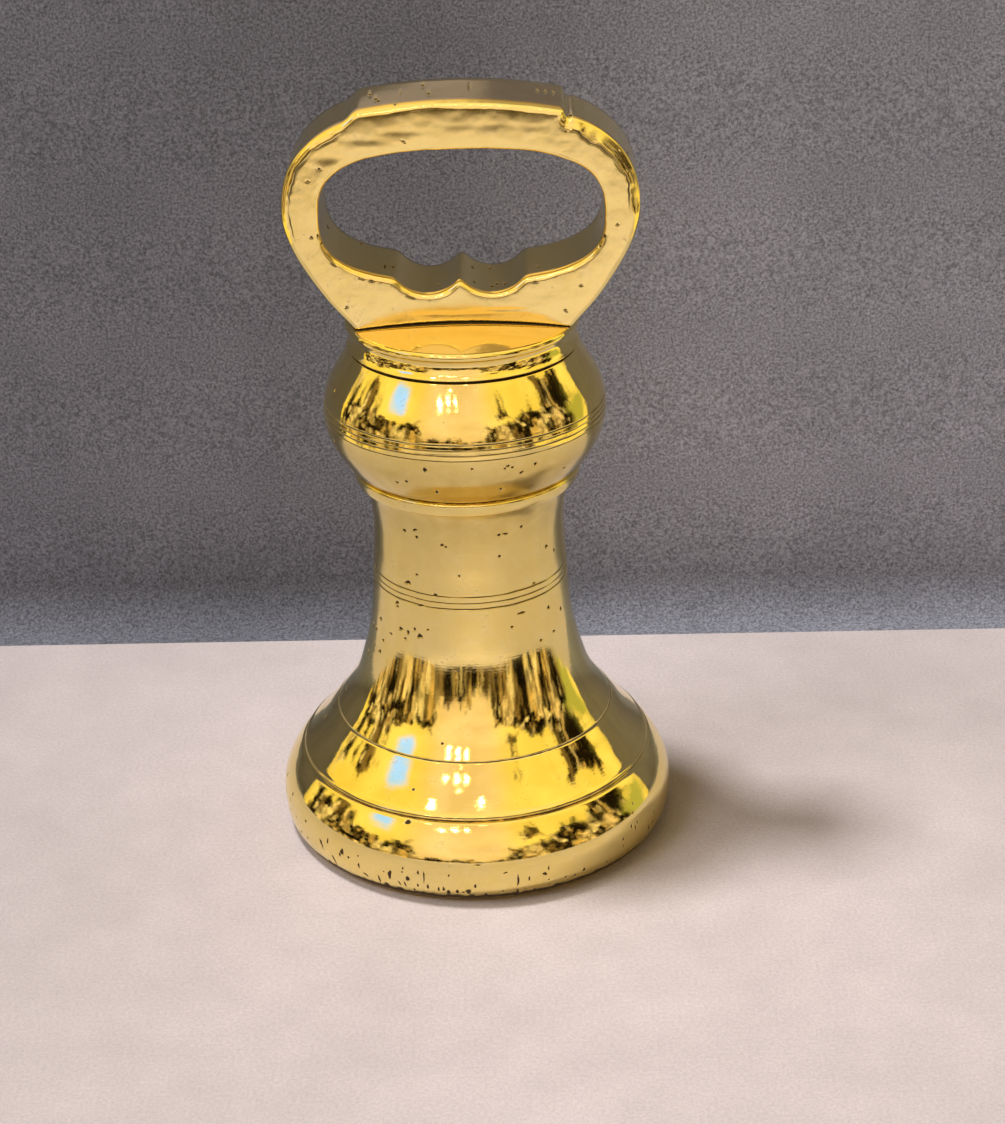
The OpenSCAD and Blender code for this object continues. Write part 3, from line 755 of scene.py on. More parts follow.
dist_out = distance_to(outer[::4], flatp[:, [0, 2]]).reshape(G.shape[:2])
dist_in = distance_to(inner[::4], flatp[:, [0, 2]]).reshape(G.shape[:2])
facey = (kinds == "face")[None, :]
worn = 0.06 * np.exp(-np.maximum(dist_out - 1.7, 0) / 1.3) + 0.06 * np.exp(-np.maximum(dist_in - 0.9, 0) / 0.9)
height -= np.where(facey | (kinds == "edge")[None, :] | (kinds == "lip")[None, :], worn, 0) * (
    1 - 0.8 * step(0, 4, 160 - G[..., 2]))

# shallow lines inside the bevelled edges, which come and go
lim = np.repeat(in_f[:, None], M_ROWS, 1)
wob_row = np.repeat(gauss(0.75 * n1 + 0.45 * n2, 2, wrap=True)[:, None], M_ROWS, 1)
xx, zz3 = G[..., 0], G[..., 2]
wobble = 0.12 * wob_row
# how far along the right-hand bevel a point is: 0 beside the pad, 1 at its lower end
along = np.clip((212.0 - O[:, 1]) / 22.0, 0, 1) * (O[:, 0] > 27)
crescent = gauss(np.sin(np.pi * np.clip(along * 1.02, 0, 1)) * right_bevel, 3, wrap=True)
for amount, side, off, wid, seed in (
        (0.09, right_bevel, 0.20, 0.24, 61), (0.06, crescent, -1.25, 0.22, 62), (0.05, left_limb, 0.30, 0.22, 63)):
    come = gauss(step(-1.3, 0.2, Waves(seed, 16.0)(p3)), 3, wrap=True)
    q = (dist_out - lim - off - 0.10 * wob_row) / wid
    m = np.exp(-q * q) * (side * come)[:, None] * (G[..., 1] < 0)
    height -= amount * m
    handle_dirt_shade = np.maximum(handle_dirt_shade, m * 0.95)
between_lines = np.exp(-((dist_out - lim + 0.50) / 0.42) ** 2) * crescent[:, None] * (G[..., 1] < 0)
blot = gauss(step(-0.5, 0.7, U_BLOT(p3)), 3, wrap=True)[:, None]
handle_dirt_shade = np.maximum(handle_dirt_shade, 0.55 * between_lines * blot)
# dark specks along the lip of the hole, low at left and right
for cx, cz, rad in ((-33.5, 177.5, 7.0), (-22.0, 169.6, 5.0), (36.0, 177.5, 5.0), (20.5, 169.0, 6.0), (-12, 166, 4)):
    q = np.exp(-(((xx - cx) ** 2 + (zz3 - cz) ** 2) / rad ** 2)) * (G[..., 1] < -8)
    l = np.exp(-((dist_in - np.repeat(ch_f[:, None], M_ROWS, 1) - 0.05 - wobble * 0.5) / 0.26) ** 2)
    br = step(-0.2, 0.9, W2(flatp).reshape(q.shape))
    handle_dirt_shade = np.maximum(handle_dirt_shade, q * l * br * 1.0)
    height -= 0.05 * q * l * br
# low smears and dents along the top bar
for cx, cz, rx, rz, dep in ((-23.5, 207.6, 5.2, 1.3, 0.05), (-31.5, 203.0, 4.5, 1.6, 0.05), (-14.0, 209.6, 6.0, 1.0, 0.04),
                            (4.0, 210.8, 9.0, 0.9, 0.02), (20.0, 210.2, 6.0, 1.0, 0.02), (-38.0, 198.0, 2.2, 3.5, 0.05),
                            (2.0, 204.5, 6.0, 2.5, 0.05), (0.5, 159.2, 11.0, 0.45, 0.06), (12.0, 160.2, 7.0, 0.4, 0.05)):
    q = ((xx - cx) / rx) ** 2 + ((zz3 - cz - 0.3 * wobble) / rz) ** 2
    height -= dep * np.exp(-q) * (G[..., 1] < -T2 + 1.5)
# dirt and painted shade along the lower edge of the foot, in its gap over the dome
gap_tall = 0.48 * (1 - 0.65 * np.clip(np.abs(G[..., 0]) / 29.0, 0, 1) ** 2)
foot_gap_dirt_shade = np.exp(-(np.maximum(G[..., 2] - dome_true - 0.10, 0) / gap_tall) ** 4) * (np.abs(G[..., 0]) < 31)
handle_dirt_shade = np.maximum(handle_dirt_shade, foot_gap_dirt_shade)

PIX_X, PIX_Y, PIX_W = to_pixels(flatp)
facing = ((GN.reshape(-1, 3)) * (CAM_P - flatp)).sum(1) > 0
HANDLE_SPOTS = [
    (319, 169.4, 2.6, 3.4), (307.6, 181, 2, 2.4), (311.2, 237.7, 2.4, 2.4), (403.3, 142, 2.2, 2),
    (370.1, 93.5, 3, 5), (399.7, 92.3, 2, 2.4), (422.7, 85.8, 3, 2.2), (428.7, 92.3, 3, 2.4), (470, 86.5, 2, 2),
    (537.8, 90.6, 2.4, 2.6), (545.6, 91.1, 2.4, 2.6), (553.6, 93.5, 2.4, 2.4), (581.4, 285.7, 2.2, 2.2),
    (564.5, 309.5, 2.2, 2.2), (346.3, 307.5, 2, 2), (617.8, 224.4, 2.4, 2.2), (438.9, 284.5, 2.6, 5),
    (473.1, 266.8, 2.6, 3), (393.6, 265.8, 3.6, 2.6), (570.5, 114.5, 3.4, 4.5), (385, 268, 2, 2),
    (318, 236, 2, 3), (322, 243, 2, 3), (604, 236, 2.6, 5), (600, 246, 2.2, 3.6),
]
hp_pits = []
for px, py, w, h in HANDLE_SPOTS:
    d2 = (PIX_X - px) ** 2 + (PIX_Y - py) ** 2
    cand = np.nonzero(facing & (d2 < 9.0))[0]
    if not len(cand):
        continue
    near = PIX_W[cand].min()
    cand = cand[PIX_W[cand] < near + 4]
    k = cand[np.argmin(d2[cand])]
    hp_pits.append((flatp[k], 0.5 * w * PIX_W[k] / FOCAL * 1.05, 0.5 * h * PIX_W[k] / FOCAL * 1.05, 0.2))
hr2 = np.random.default_rng(77)
normals_flat = GN.reshape(-1, 3)
back = np.nonzero((np.abs(flatp[:, 1] - T2) < 0.1) | ((np.abs(flatp[:, 1]) < 11) & (flatp[:, 2] > 160)))[0]
for k in hr2.choice(back, 70, replace=False):
    r = hr2.uniform(0.25, 0.55)
    hp_pits.append((flatp[k], r, r * hr2.uniform(0.6, 1.6), hr2.uniform(0.10, 0.25)))
height = height.ravel()
hg = handle_dirt_shade.ravel()
for c, rx, rz, dep in hp_pits:
    rx, rz = max(rx, 0.3), max(rz, 0.3)
    dlt = flatp - c
    m = np.nonzero((np.abs(dlt) < 3 * max(rx, rz)).all(1))[0]
    q = np.sqrt((dlt[m, 0] / rx) ** 2 + (dlt[m, 1] / max(rx, rz)) ** 2 + (dlt[m, 2] / rz) ** 2)
    deep = 0.5 * (1 - np.tanh((q - 0.85) / 0.25))
    height[m] -= dep * deep
    hg[m] = np.maximum(hg[m], np.clip(deep * 1.3, 0, 1))
held = (kinds == "band")[None, :] & (foot_w[:, None] > 0.3)
height = np.where(held.ravel(), np.maximum(height, 0), height)
flatq = flatp + normals_flat * height[:, None]

# The shank, a closed turned shape below the foot
shank_pts, shank_faces, shank_uv = [], [], []
NSH = 64
sh_rows = [(0.0, 121.0), (8.7, 121.0), (9.3, 121.3), (9.5, 121.9), (9.5, 135.0), (9.5, 150.0), (9.5, 158.5),
           (8.5, 159.4), (0.0, 159.4)]
base_k = len(flatq)
for j, (r, zq) in enumerate(sh_rows):
    if r == 0:
        shank_pts.append([(0, 0, zq)])
    else:
        shank_pts.append([(r * math.sin(2 * math.pi * i / NSH), -r * math.cos(2 * math.pi * i / NSH), zq)
                          for i in range(NSH)])
starts, k = [], base_k
for row in shank_pts:
    starts.append(k)
    k += len(row)
for j in range(len(sh_rows) - 1):
    la, lb = len(shank_pts[j]), len(shank_pts[j + 1])
    for i in range(NSH):
        i2 = (i + 1) % NSH
        quad = [starts[j] + (i if la > 1 else 0), starts[j] + (i2 if la > 1 else 0),
                starts[j + 1] + (i2 if lb > 1 else 0), starts[j + 1] + (i if lb > 1 else 0)]
        uvq = [(i / NSH, j), ((i + 1) / NSH, j), ((i + 1) / NSH, j + 1), (i / NSH, j + 1)]
        f, uv = [], []
        for a, b in zip(quad, uvq):
            if a not in f:
                f.append(a)
                uv.append((b[0], 0.93 + 0.07 * b[1] / (len(sh_rows) - 1)))
        shank_faces.append(f)
        shank_uv += uv
hfaces, huv = [], []
for i in range(N_A):
    i2 = (i + 1) % N_A
    for j in range(M_ROWS):
        j2 = (j + 1) % M_ROWS
        quad = [(i, j), (i, j + 1), (i + 1, j + 1), (i + 1, j)]
        if FLIP:
            quad = quad[::-1]
        hfaces.append([(a % N_A) * M_ROWS + b % M_ROWS for a, b in quad])
        huv += [(a / N_A, 0.92 * b / M_ROWS) for a, b in quad]
shank_co = np.array([q for row in shank_pts for q in row], float)
hco = np.concatenate([flatq, shank_co])
hgr = np.concatenate([hg, np.full(len(shank_co), 0.5)])
handle = make_object("handle_finished", hco, hfaces + shank_faces, huv + shank_uv, hgr)
print("handle", len(hco), "vertices", sum(len(f) - 2 for f in hfaces + shank_faces), "triangles")

# ---------------------------------------------------------------- cross pin
PIN_R, PIN_Z = 2.25, 150.6


def cove_r_at(z):
    a, b = int(s_near(32.0, 147.5) / DS), int(s_near(31.0, 152.6) / DS)
    return np.interp(z, PZ[a:b], PR[a:b])


NP = 64
radii_end = [0.0, 0.5, 1.0, 1.45, 1.8, 2.0, 2.1, 2.17, PIN_R]
proud = [0.035, 0.035, 0.035, 0.034, 0.03, 0.022, 0.010, -0.02, -0.10]
pin_rows = []
W_PIN = Waves(41, 2.2)
for side in (-1, 1):
    rows_s = []
    for r, pr in zip(radii_end, proud):
        ring = []
        for i in range(NP if r > 0 else 1):
            a = 2 * math.pi * i / NP
            yq, zq = r * math.cos(a), PIN_Z + r * math.sin(a)
            xq = math.sqrt(float(cove_r_at(zq)) ** 2 - yq ** 2) + pr
            ring.append((side * xq, yq, zq, 1.0 if r >= 2.1 else 0.0))
        rows_s.append(ring)
    pin_rows.append(rows_s)
mid = [[(xq, PIN_R * math.cos(2 * math.pi * i / NP), PIN_Z + PIN_R * math.sin(2 * math.pi * i / NP), 0.4)
        for i in range(NP)] for xq in (-26.0, -10.0, 10.0, 26.0)]
seq = pin_rows[0] + mid + pin_rows[1][::-1]
pc_, pg_, pst = [], [], []
for row in seq:
    pst.append(len(pc_))
    for q in row:
        pc_.append(q[:3])
        pg_.append(q[3])
pf, puv = [], []
for j in range(len(seq) - 1):
    la, lb = len(seq[j]), len(seq[j + 1])
    for i in range(NP):
        i2 = (i + 1) % NP
        quad = [pst[j] + (i if la > 1 else 0), pst[j] + (i2 if la > 1 else 0),
                pst[j + 1] + (i2 if lb > 1 else 0), pst[j + 1] + (i if lb > 1 else 0)]
        uvq = [(i / NP, j), ((i + 1) / NP, j), ((i + 1) / NP, j + 1), (i / NP, j + 1)]
        f, uv = [], []
        for a, b in zip(quad, uvq):
            if a not in f:
                f.append(a)
                uv.append((b[0], b[1] / (len(seq) - 1)))
        pf.append(f)
        puv += uv
pc_ = np.array(pc_)
end_w = (np.abs(pc_[:, 0]) > 28) * (np.hypot(pc_[:, 1], pc_[:, 2] - PIN_Z) < 2.0)
pc_[:, 0] += np.sign(pc_[:, 0]) * 0.010 * W_PIN(pc_) * end_w
pin = make_object("cross_pin_finished", pc_, pf, puv, pg_)

# ---------------------------------------------------------------- lead
NL = 96
FACE_Z = 2.2
lead_prof = [(0.0, FACE_Z)] + [(r, FACE_Z) for r in np.linspace(0.6, 12.2, 24)]
lead_prof += [(12.65, FACE_Z + 0.08), (12.9, FACE_Z + 0.35), (12.98, FACE_Z + 0.9), (12.98, 4.6), (13.6, 5.5),
              (14.96, 7.6), (14.96, 11.0), (14.96, 14.4), (13.5, 15.9), (7.0, 15.95), (0.0, 15.95)]
W_L1, W_L2 = Waves(51, 6.5), Waves(53, 2.3)
lr = np.random.default_rng(91)
blows = [(lr.uniform(0, 11), lr.uniform(0, 2 * math.pi), lr.uniform(1.2, 2.4)) for _ in range(26)]
lc, lst, lg = [], [], []
for r, zq in lead_prof:
    lst.append(len(lc))
    for i in range(NL if r > 0 else 1):
        a = 2 * math.pi * i / NL
        xq, yq = r * math.sin(a), -r * math.cos(a)
        if zq < FACE_Z + 0.5:
            fade = 1 - step(11.2, 12.8, np.array(r))
            dz = -0.12 * (1 - (r / 13) ** 2)
            w = float(W_L1(np.array([xq, yq, 0.0])) * 0.05 + W_L2(np.array([xq, yq, 0.0])) * 0.02)
            hit = 0.0
            for br, ba, bs in blows:
                q = ((xq - br * math.sin(ba)) ** 2 + (yq + br * math.cos(ba)) ** 2) / bs ** 2
                if q < 1:
                    hit = max(hit, 0.22 * (1 - q))
            lc.append((xq, yq, zq + dz + (w + hit) * float(fade)))
            lg.append(float(np.clip(hit * 2.2 + (r > 12.3) * 0.9, 0, 1)))
        else:
            lc.append((xq, yq, zq))
            lg.append(0.6)
lf, luv = [], []
for j in range(len(lead_prof) - 1):
    ra, rb = lead_prof[j][0], lead_prof[j + 1][0]
    for i in range(NL):
        i2 = (i + 1) % NL
        quad = [lst[j] + (i if ra > 0 else 0), lst[j] + (i2 if ra > 0 else 0),
                lst[j + 1] + (i2 if rb > 0 else 0), lst[j + 1] + (i if rb > 0 else 0)]
        uvq = [(i / NL, j), ((i + 1) / NL, j), ((i + 1) / NL, j + 1), (i / NL, j + 1)]
        f, uv = [], []
        for a, b in zip(quad, uvq):
            if a not in f:
                f.append(a)
                uv.append((b[0], b[1] / (len(lead_prof) - 1)))
        lf.append(f)
        luv += uv
lead = make_object("adjusting_lead_finished", lc, lf, luv, lg)


# ---------------------------------------------------------------- materials
class Tree:
    def __init__(self, tree):
        self.t = tree
        tree.nodes.clear()

    def node(self, kind, **values):
        n = self.t.nodes.new(kind)
        for k, v in values.items():
            setattr(n, k, v)
        return n

    def put(self, value, socket):
        if isinstance(value, bpy.types.NodeSocket):
            self.t.links.new(value, socket)
        elif value is not None:
            socket.default_value = value

    def math(self, op, a, b=None, c=None, clamp=False):
        n = self.node("ShaderNodeMath", operation=op, use_clamp=clamp)
        for v, s in zip((a, b, c), n.inputs):
            self.put(v, s)
        return n.outputs[0]

    def vec(self, op, a, b=None, scale=None):
        n = self.node("ShaderNodeVectorMath", operation=op)
        self.put(a, n.inputs[0])
        if b is not None:
            self.put(b, n.inputs[1])
        if scale is not None:
            n.inputs["Scale"].default_value = scale
        return n.outputs["Value"] if op in ("DOT_PRODUCT", "LENGTH") else n.outputs["Vector"]

    def noise(self, vector, scale, detail=3.0, rough=0.55, distort=0.0):
        n = self.node("ShaderNodeTexNoise", noise_dimensions="3D")
        self.put(vector, n.inputs["Vector"])
        n.inputs["Scale"].default_value = scale
        n.inputs["Detail"].default_value = detail
        n.inputs["Roughness"].default_value = rough
        n.inputs["Distortion"].default_value = distort
        return n.outputs["Fac"]

    def ramp(self, fac, stops, mode="LINEAR"):
        n = self.node("ShaderNodeValToRGB")
        n.color_ramp.interpolation = mode
        el = n.color_ramp.elements
        while len(el) < len(stops):
            el.new(0.5)
        for e_, (pos, col) in zip(el, stops):
            e_.position = pos
            e_.color = tuple(col) + (1.0,) if len(col) == 3 else col
        self.put(fac, n.inputs["Fac"])
        return n.outputs["Color"]

    def fit(self, value, lo, hi, a=0.0, b=1.0, smooth=False):
        n = self.node("ShaderNodeMapRange", clamp=True)
        n.interpolation_type = "SMOOTHSTEP" if smooth else "LINEAR"
        self.put(value, n.inputs["Value"])
        for k, v in (("From Min", lo), ("From Max", hi), ("To Min", a), ("To Max", b)):
            self.put(v, n.inputs[k])
        return n.outputs["Result"]

    def mix(self, fac, a, b, mode="MIX"):
        n = self.node("ShaderNodeMix", data_type="RGBA", blend_type=mode)
        self.put(fac, n.inputs[0])
        self.put(tuple(a) + (1.0,) if isinstance(a, (tuple, list)) and len(a) == 3 else a, n.inputs[6])
        self.put(tuple(b) + (1.0,) if isinstance(b, (tuple, list)) and len(b) == 3 else b, n.inputs[7])
        return n.outputs[2]

    def xyz(self, v):
        n = self.node("ShaderNodeSeparateXYZ")
        self.put(v, n.inputs[0])
        return n.outputs[0], n.outputs[1], n.outputs[2]

    def join(self, x, y, z):
        n = self.node("ShaderNodeCombineXYZ")
        for v, s in zip((x, y, z), n.inputs):
            self.put(v, s)
        return n.outputs[0]


def brass(name, base, warm, pale, gloss, turning, scratch, rough_hi, tarnish=0.35, reflection_shade=None):
    m = bpy.data.materials.new(name)
    m.use_nodes = True
    t = Tree(m.node_tree)
    out = t.node("ShaderNodeOutputMaterial")
    bsdf = t.node("ShaderNodeBsdfPrincipled")
    t.t.links.new(bsdf.outputs[0], out.inputs[0])
    pos = t.node("ShaderNodeTexCoord").outputs["Object"]
    mm = t.vec("SCALE", pos, scale=1000.0)
    x, y, z = t.xyz(mm)
    dirt_and_shade = t.node("ShaderNodeAttribute", attribute_name="dirt_and_shade").outputs["Fac"]
    rad = t.math("SQRT", t.math("ADD", t.math("MULTIPLY", x, x), t.math("MULTIPLY", y, y)))
    # broad drifts of colour, small cloudy spots, dirt in the hollows, and the painted shade that comes with the dirt in
    # the vertex attribute
    big = t.noise(mm, 0.045, 3, 0.6)
    mid = t.noise(mm, 0.20, 5, 0.62, 0.4)
    fine_n = t.noise(mm, 1.6, 4, 0.6)
    col = t.mix(t.fit(big, 0.36, 0.64, smooth=True), base, warm)
    col = t.mix(t.fit(mid, 0.45, 0.75, 0, 0.55, smooth=True), col, pale)
    spots = t.fit(t.math("MULTIPLY", fine_n, t.fit(mid, 0.40, 0.66, 0.6, 1.15)), 0.60, 0.74, 0, tarnish, smooth=True)
    col = t.mix(spots, col, (0.42, 0.27, 0.07))
    speck = t.fit(t.noise(mm, 2.6, 3, 0.7, 0.6), 0.70, 0.76, 0, 0.85, smooth=True)
    dirt_shade_fac = t.math("MAXIMUM", t.fit(dirt_and_shade, 0.18, 0.80, 0, 1, smooth=True), t.math("MULTIPLY", speck, 0.55))
    dark = t.mix(t.fit(fine_n, 0.35, 0.65), (0.030, 0.017, 0.008), (0.085, 0.050, 0.018))
    if reflection_shade:  # painted dark reflection: the body is darker and browner in bands by height, at the top of the waist and the bottom of the bulb
        shade_level = t.ramp(t.fit(z, 0.0, 160.0), reflection_shade)
        col = t.mix(1.0, col, t.mix(t.fit(mid, 0.3, 0.7, 0.0, 0.35), shade_level, (1.0, 1.0, 1.0)), "MULTIPLY")
    col = t.mix(dirt_shade_fac, col, dark)
    t.put(col, bsdf.inputs["Base Color"])
    t.put(t.fit(dirt_shade_fac, 0.0, 1.0, 1.0, 0.25), bsdf.inputs["Metallic"])
    # wiping marks and hairlines in the gloss
    wipe = t.noise(t.join(t.math("MULTIPLY", x, 0.35), t.math("MULTIPLY", y, 0.35), t.math("MULTIPLY", z, 1.5)),
                   0.16, 5, 0.6, 0.8)
    hair = t.noise(t.join(t.math("MULTIPLY", t.math("ADD", x, z), 0.22), t.math("MULTIPLY", y, 0.5),
                          t.math("MULTIPLY", t.math("SUBTRACT", z, x), 5.0)), 1.1, 2, 0.6)
    rough = t.fit(wipe, 0.36, 0.70, gloss, rough_hi)
    rough = t.math("ADD", rough, t.fit(hair, 0.56, 0.72, 0.0, 0.07))
    if reflection_shade:
        band = t.math("MULTIPLY", t.fit(z, 62.0, 72.0, smooth=True), t.fit(z, 125.5, 128.0, 1.0, 0.0, smooth=True))
        band = t.math("MAXIMUM", band, t.fit(z, 9.0, 14.0, 0.5, 0.0, smooth=True))
        rough = t.math("ADD", rough, t.math("MULTIPLY", band, 0.11))
    rough = t.math("ADD", rough, t.math("MULTIPLY", spots, 0.25))
    rough = t.math("ADD", rough, t.math("MULTIPLY", dirt_shade_fac, 0.55), clamp=True)
    t.put(rough, bsdf.inputs["Roughness"])
    # turned rings or straight dressing marks, hairlines, fine orange peel
    ring = t.noise(t.join(t.math("MULTIPLY", rad, 1.0), t.math("MULTIPLY", z, 1.0), 0.0), 1.9, 2, 0.5)
    peel = t.noise(mm, 0.75, 3, 0.5)
    h = t.math("MULTIPLY", ring, turning)
    h = t.math("ADD", h, t.math("MULTIPLY", hair, scratch))
    h = t.math("ADD", h, t.math("MULTIPLY", peel, 0.010))
    h = t.math("SUBTRACT", h, t.math("MULTIPLY", speck, 0.03))
    bump = t.node("ShaderNodeBump")
    bump.inputs["Strength"].default_value = 1.0
    bump.inputs["Distance"].default_value = 0.001
    t.put(h, bump.inputs["Height"])
    t.t.links.new(bump.outputs[0], bsdf.inputs["Normal"])
    return m


def leaden(name):
    m = bpy.data.materials.new(name)
    m.use_nodes = True
    t = Tree(m.node_tree)
    out = t.node("ShaderNodeOutputMaterial")
    bsdf = t.node("ShaderNodeBsdfPrincipled")
    t.t.links.new(bsdf.outputs[0], out.inputs[0])
    pos = t.node("ShaderNodeTexCoord").outputs["Object"]
    mm = t.vec("SCALE", pos, scale=1000.0)
    dirt_and_shade = t.node("ShaderNodeAttribute", attribute_name="dirt_and_shade").outputs["Fac"]
    a, b = t.noise(mm, 0.35, 5, 0.6, 0.5), t.noise(mm, 2.4, 4, 0.65)
    col = t.ramp(a, [(0.30, (0.10, 0.105, 0.115)), (0.52, (0.22, 0.225, 0.235)), (0.72, (0.36, 0.365, 0.375))])
    col = t.mix(t.fit(b, 0.55, 0.75, 0, 0.5), col, (0.50, 0.50, 0.49))
    col = t.mix(t.fit(dirt_and_shade, 0.2, 0.9, 0, 0.75), col, (0.06, 0.06, 0.065))
    t.put(col, bsdf.inputs["Base Color"])
    t.put(t.fit(a, 0.3, 0.7, 0.55, 0.85), bsdf.inputs["Metallic"])
    t.put(t.math("ADD", t.fit(b, 0.3, 0.7, 0.42, 0.66), t.math("MULTIPLY", dirt_and_shade, 0.15)), bsdf.inputs["Roughness"])
    bump = t.node("ShaderNodeBump")
    bump.inputs["Strength"].default_value = 0.8
    bump.inputs["Distance"].default_value = 0.001
    t.put(t.math("MULTIPLY", b, 0.06), bump.inputs["Height"])
    t.t.links.new(bump.outputs[0], bsdf.inputs["Normal"])
    return m


# painted dark reflection by height on the body: darker and browner at the top of the waist and the bottom of the bulb,
# less dark on the bead
REFLECTION_SHADE_BY_HEIGHT = [(0.0, (0.97, 0.97, 0.97)), (0.32, (1.0, 1.0, 1.0)), (0.42, (1.0, 1.0, 1.0)), (0.50, (0.97, 0.97, 0.96)),
                  (0.59, (0.86, 0.85, 0.84)), (0.645, (0.70, 0.68, 0.62)), (0.667, (0.72, 0.70, 0.64)),
                  (0.675, (0.92, 0.92, 0.90)), (0.697, (0.92, 0.92, 0.90)), (0.705, (0.66, 0.63, 0.55)),
                  (0.76, (0.72, 0.70, 0.66)), (0.80, (0.95, 0.95, 0.94)), (1.0, (1.0, 1.0, 1.0))]
body.data.materials.append(brass("polished_turned_brass", (0.93, 0.755, 0.285), (0.92, 0.725, 0.24),
                                 (0.95, 0.80, 0.36), 0.030, 0.005, 0.003, 0.085, 0.35, REFLECTION_SHADE_BY_HEIGHT))
handle.data.materials.append(brass("polished_cast_brass", (0.94, 0.765, 0.295), (0.93, 0.735, 0.25),
                                   (0.96, 0.81, 0.37), 0.09, 0.0, 0.008, 0.18))
pin.data.materials.append(brass("pin_brass", (0.90, 0.68, 0.22), (0.86, 0.62, 0.18), (0.93, 0.74, 0.30),
                                0.10, 0.0, 0.016, 0.24, 0.6))
lead.data.materials.append(leaden("lead_grey"))

for ob, node, slot in ((body, "bell_body", "body_brass"), (handle, "handle", "handle_brass"),
                       (pin, "cross_pin", "pin_brass"), (lead, "adjusting_lead", "lead")):
    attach(ob, "root")
    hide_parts(node)


# ---------------------------------------------------------------- stage
def stage_mesh(name, verts, faces):
    me = bpy.data.meshes.new(name)
    me.from_pydata(verts, [], faces)
    me.update()
    me.polygons.foreach_set("use_smooth", [True] * len(me.polygons))
    ob = bpy.data.objects.new(name, me)
    scene.collection.objects.link(ob)
    return ob


def cloth(name, low, high, speckle, grain, shade=None, clear_where=None):
    """A felt-like cloth. shade(t, x, y, z) gives a factor on its colour, clear_where(t, x, y, z) where it is clear."""
    m = bpy.data.materials.new(name)
    m.use_nodes = True
    t = Tree(m.node_tree)
    out = t.node("ShaderNodeOutputMaterial")
    bsdf = t.node("ShaderNodeBsdfPrincipled")
    pos = t.node("ShaderNodeTexCoord").outputs["Object"]
    mm = t.vec("SCALE", pos, scale=1000.0)
    x, y, z = t.xyz(mm)
    a, b, c = t.noise(mm, 0.012, 3, 0.55), t.noise(mm, speckle, 3, 0.8), t.noise(mm, 0.06, 3, 0.6)
    col = t.mix(t.fit(a, 0.3, 0.7), low, high)
    lo, hi = 1.0 - grain, 1.0 + grain
    col = t.mix(1.0, col, t.mix(t.fit(b, 0.34, 0.66), (lo, lo, lo), (hi, hi, hi)), "MULTIPLY")
    col = t.mix(1.0, col, t.mix(t.fit(c, 0.3, 0.7), (0.96, 0.96, 0.96), (1.04, 1.04, 1.04)), "MULTIPLY")
    if shade:
        f = shade(t, x, y, z)
        col = t.mix(1.0, col, t.join(f, f, f), "MULTIPLY")
    t.put(col, bsdf.inputs["Base Color"])
    bsdf.inputs["Roughness"].default_value = 0.95
    bsdf.inputs["Specular IOR Level"].default_value = 0.12
    bump = t.node("ShaderNodeBump")
    bump.inputs["Strength"].default_value = 0.6
    bump.inputs["Distance"].default_value = 0.001
    t.put(t.math("MULTIPLY", b, 0.3), bump.inputs["Height"])
    t.t.links.new(bump.outputs[0], bsdf.inputs["Normal"])
    clear = t.node("ShaderNodeBsdfTransparent")
    pick = t.node("ShaderNodeMixShader")
    t.put(clear_where(t, x, y, z), pick.inputs[0])
    t.t.links.new(bsdf.outputs[0], pick.inputs[1])
    t.t.links.new(clear.outputs[0], pick.inputs[2])
    t.t.links.new(pick.outputs[0], out.inputs[0])
    return m


def past_table(t, x, y, z):
    """The studio floor ends, for reflections, where a table would, and is clear from below."""
    off = t.math("MAXIMUM", t.math("GREATER_THAN", t.math("ABSOLUTE", x), 320.0), t.math("LESS_THAN", y, -600.0))
    seen = t.node("ShaderNodeLightPath").outputs["Is Camera Ray"]
    below = t.node("ShaderNodeNewGeometry").outputs["Backfacing"]
    return t.math("MAXIMUM", t.math("MULTIPLY", off, t.math("SUBTRACT", 1.0, seen)), below)


def from_behind(t, x, y, z):
    return t.node("ShaderNodeNewGeometry").outputs["Backfacing"]


def painted_light_right_shade_low(t, x, y, z):
    # painted light and shade: lighter to the right, darker towards the floor
    return t.math("MULTIPLY", t.fit(x, -40.0, 110.0, 0.58, 1.05, smooth=True), t.fit(z, 0.0, 60.0, 0.72, 1.0, smooth=True))


def painted_shade_left_light_front(t, x, y, z):
    # painted shade: darker towards the left and towards the back
    side = t.math("MULTIPLY", t.fit(x, -190.0, 70.0, 0.80, 1.04, smooth=True), t.fit(y, -260.0, 120.0, 1.0, 0.93))
    # painted light: paler in front of the camera's view, where only reflections see it
    return t.math("MULTIPLY", side, t.fit(y, -400.0, -200.0, 1.42, 1.0, smooth=True))


F = 1.8
floor = stage_mesh("studio_floor", [(-F, -F, 0), (F, -F, 0), (F, F, 0), (-F, F, 0)], [(0, 1, 2, 3)])
floor.data.materials.append(cloth("pale_floor", (0.66, 0.588, 0.60), (0.73, 0.65, 0.665), 1.0, 0.10, painted_shade_left_light_front,
                                  past_table))
bx, by, bh, br = 0.34, 0.122, 0.245, 0.014
bv, bf = [], []
sect = [(by - br - 0.003, 0.0004)] + [(by - br + br * math.sin(a), 0.0004 + br - br * math.cos(a))
                                      for a in np.linspace(0, math.pi / 2, 9)] + [(by + 0.004, bh)]
for yq, zq in sect:
    bv += [(-bx, yq, zq), (bx, yq, zq)]
for k in range(len(sect) - 1):
    bf.append((2 * k, 2 * k + 1, 2 * k + 3, 2 * k + 2))
backdrop = stage_mesh("studio_backdrop", bv, bf)
backdrop.data.materials.append(cloth("dark_backdrop", (0.33, 0.345, 0.42), (0.41, 0.425, 0.515), 1.15, 0.55,
                                     painted_light_right_shade_low, from_behind))


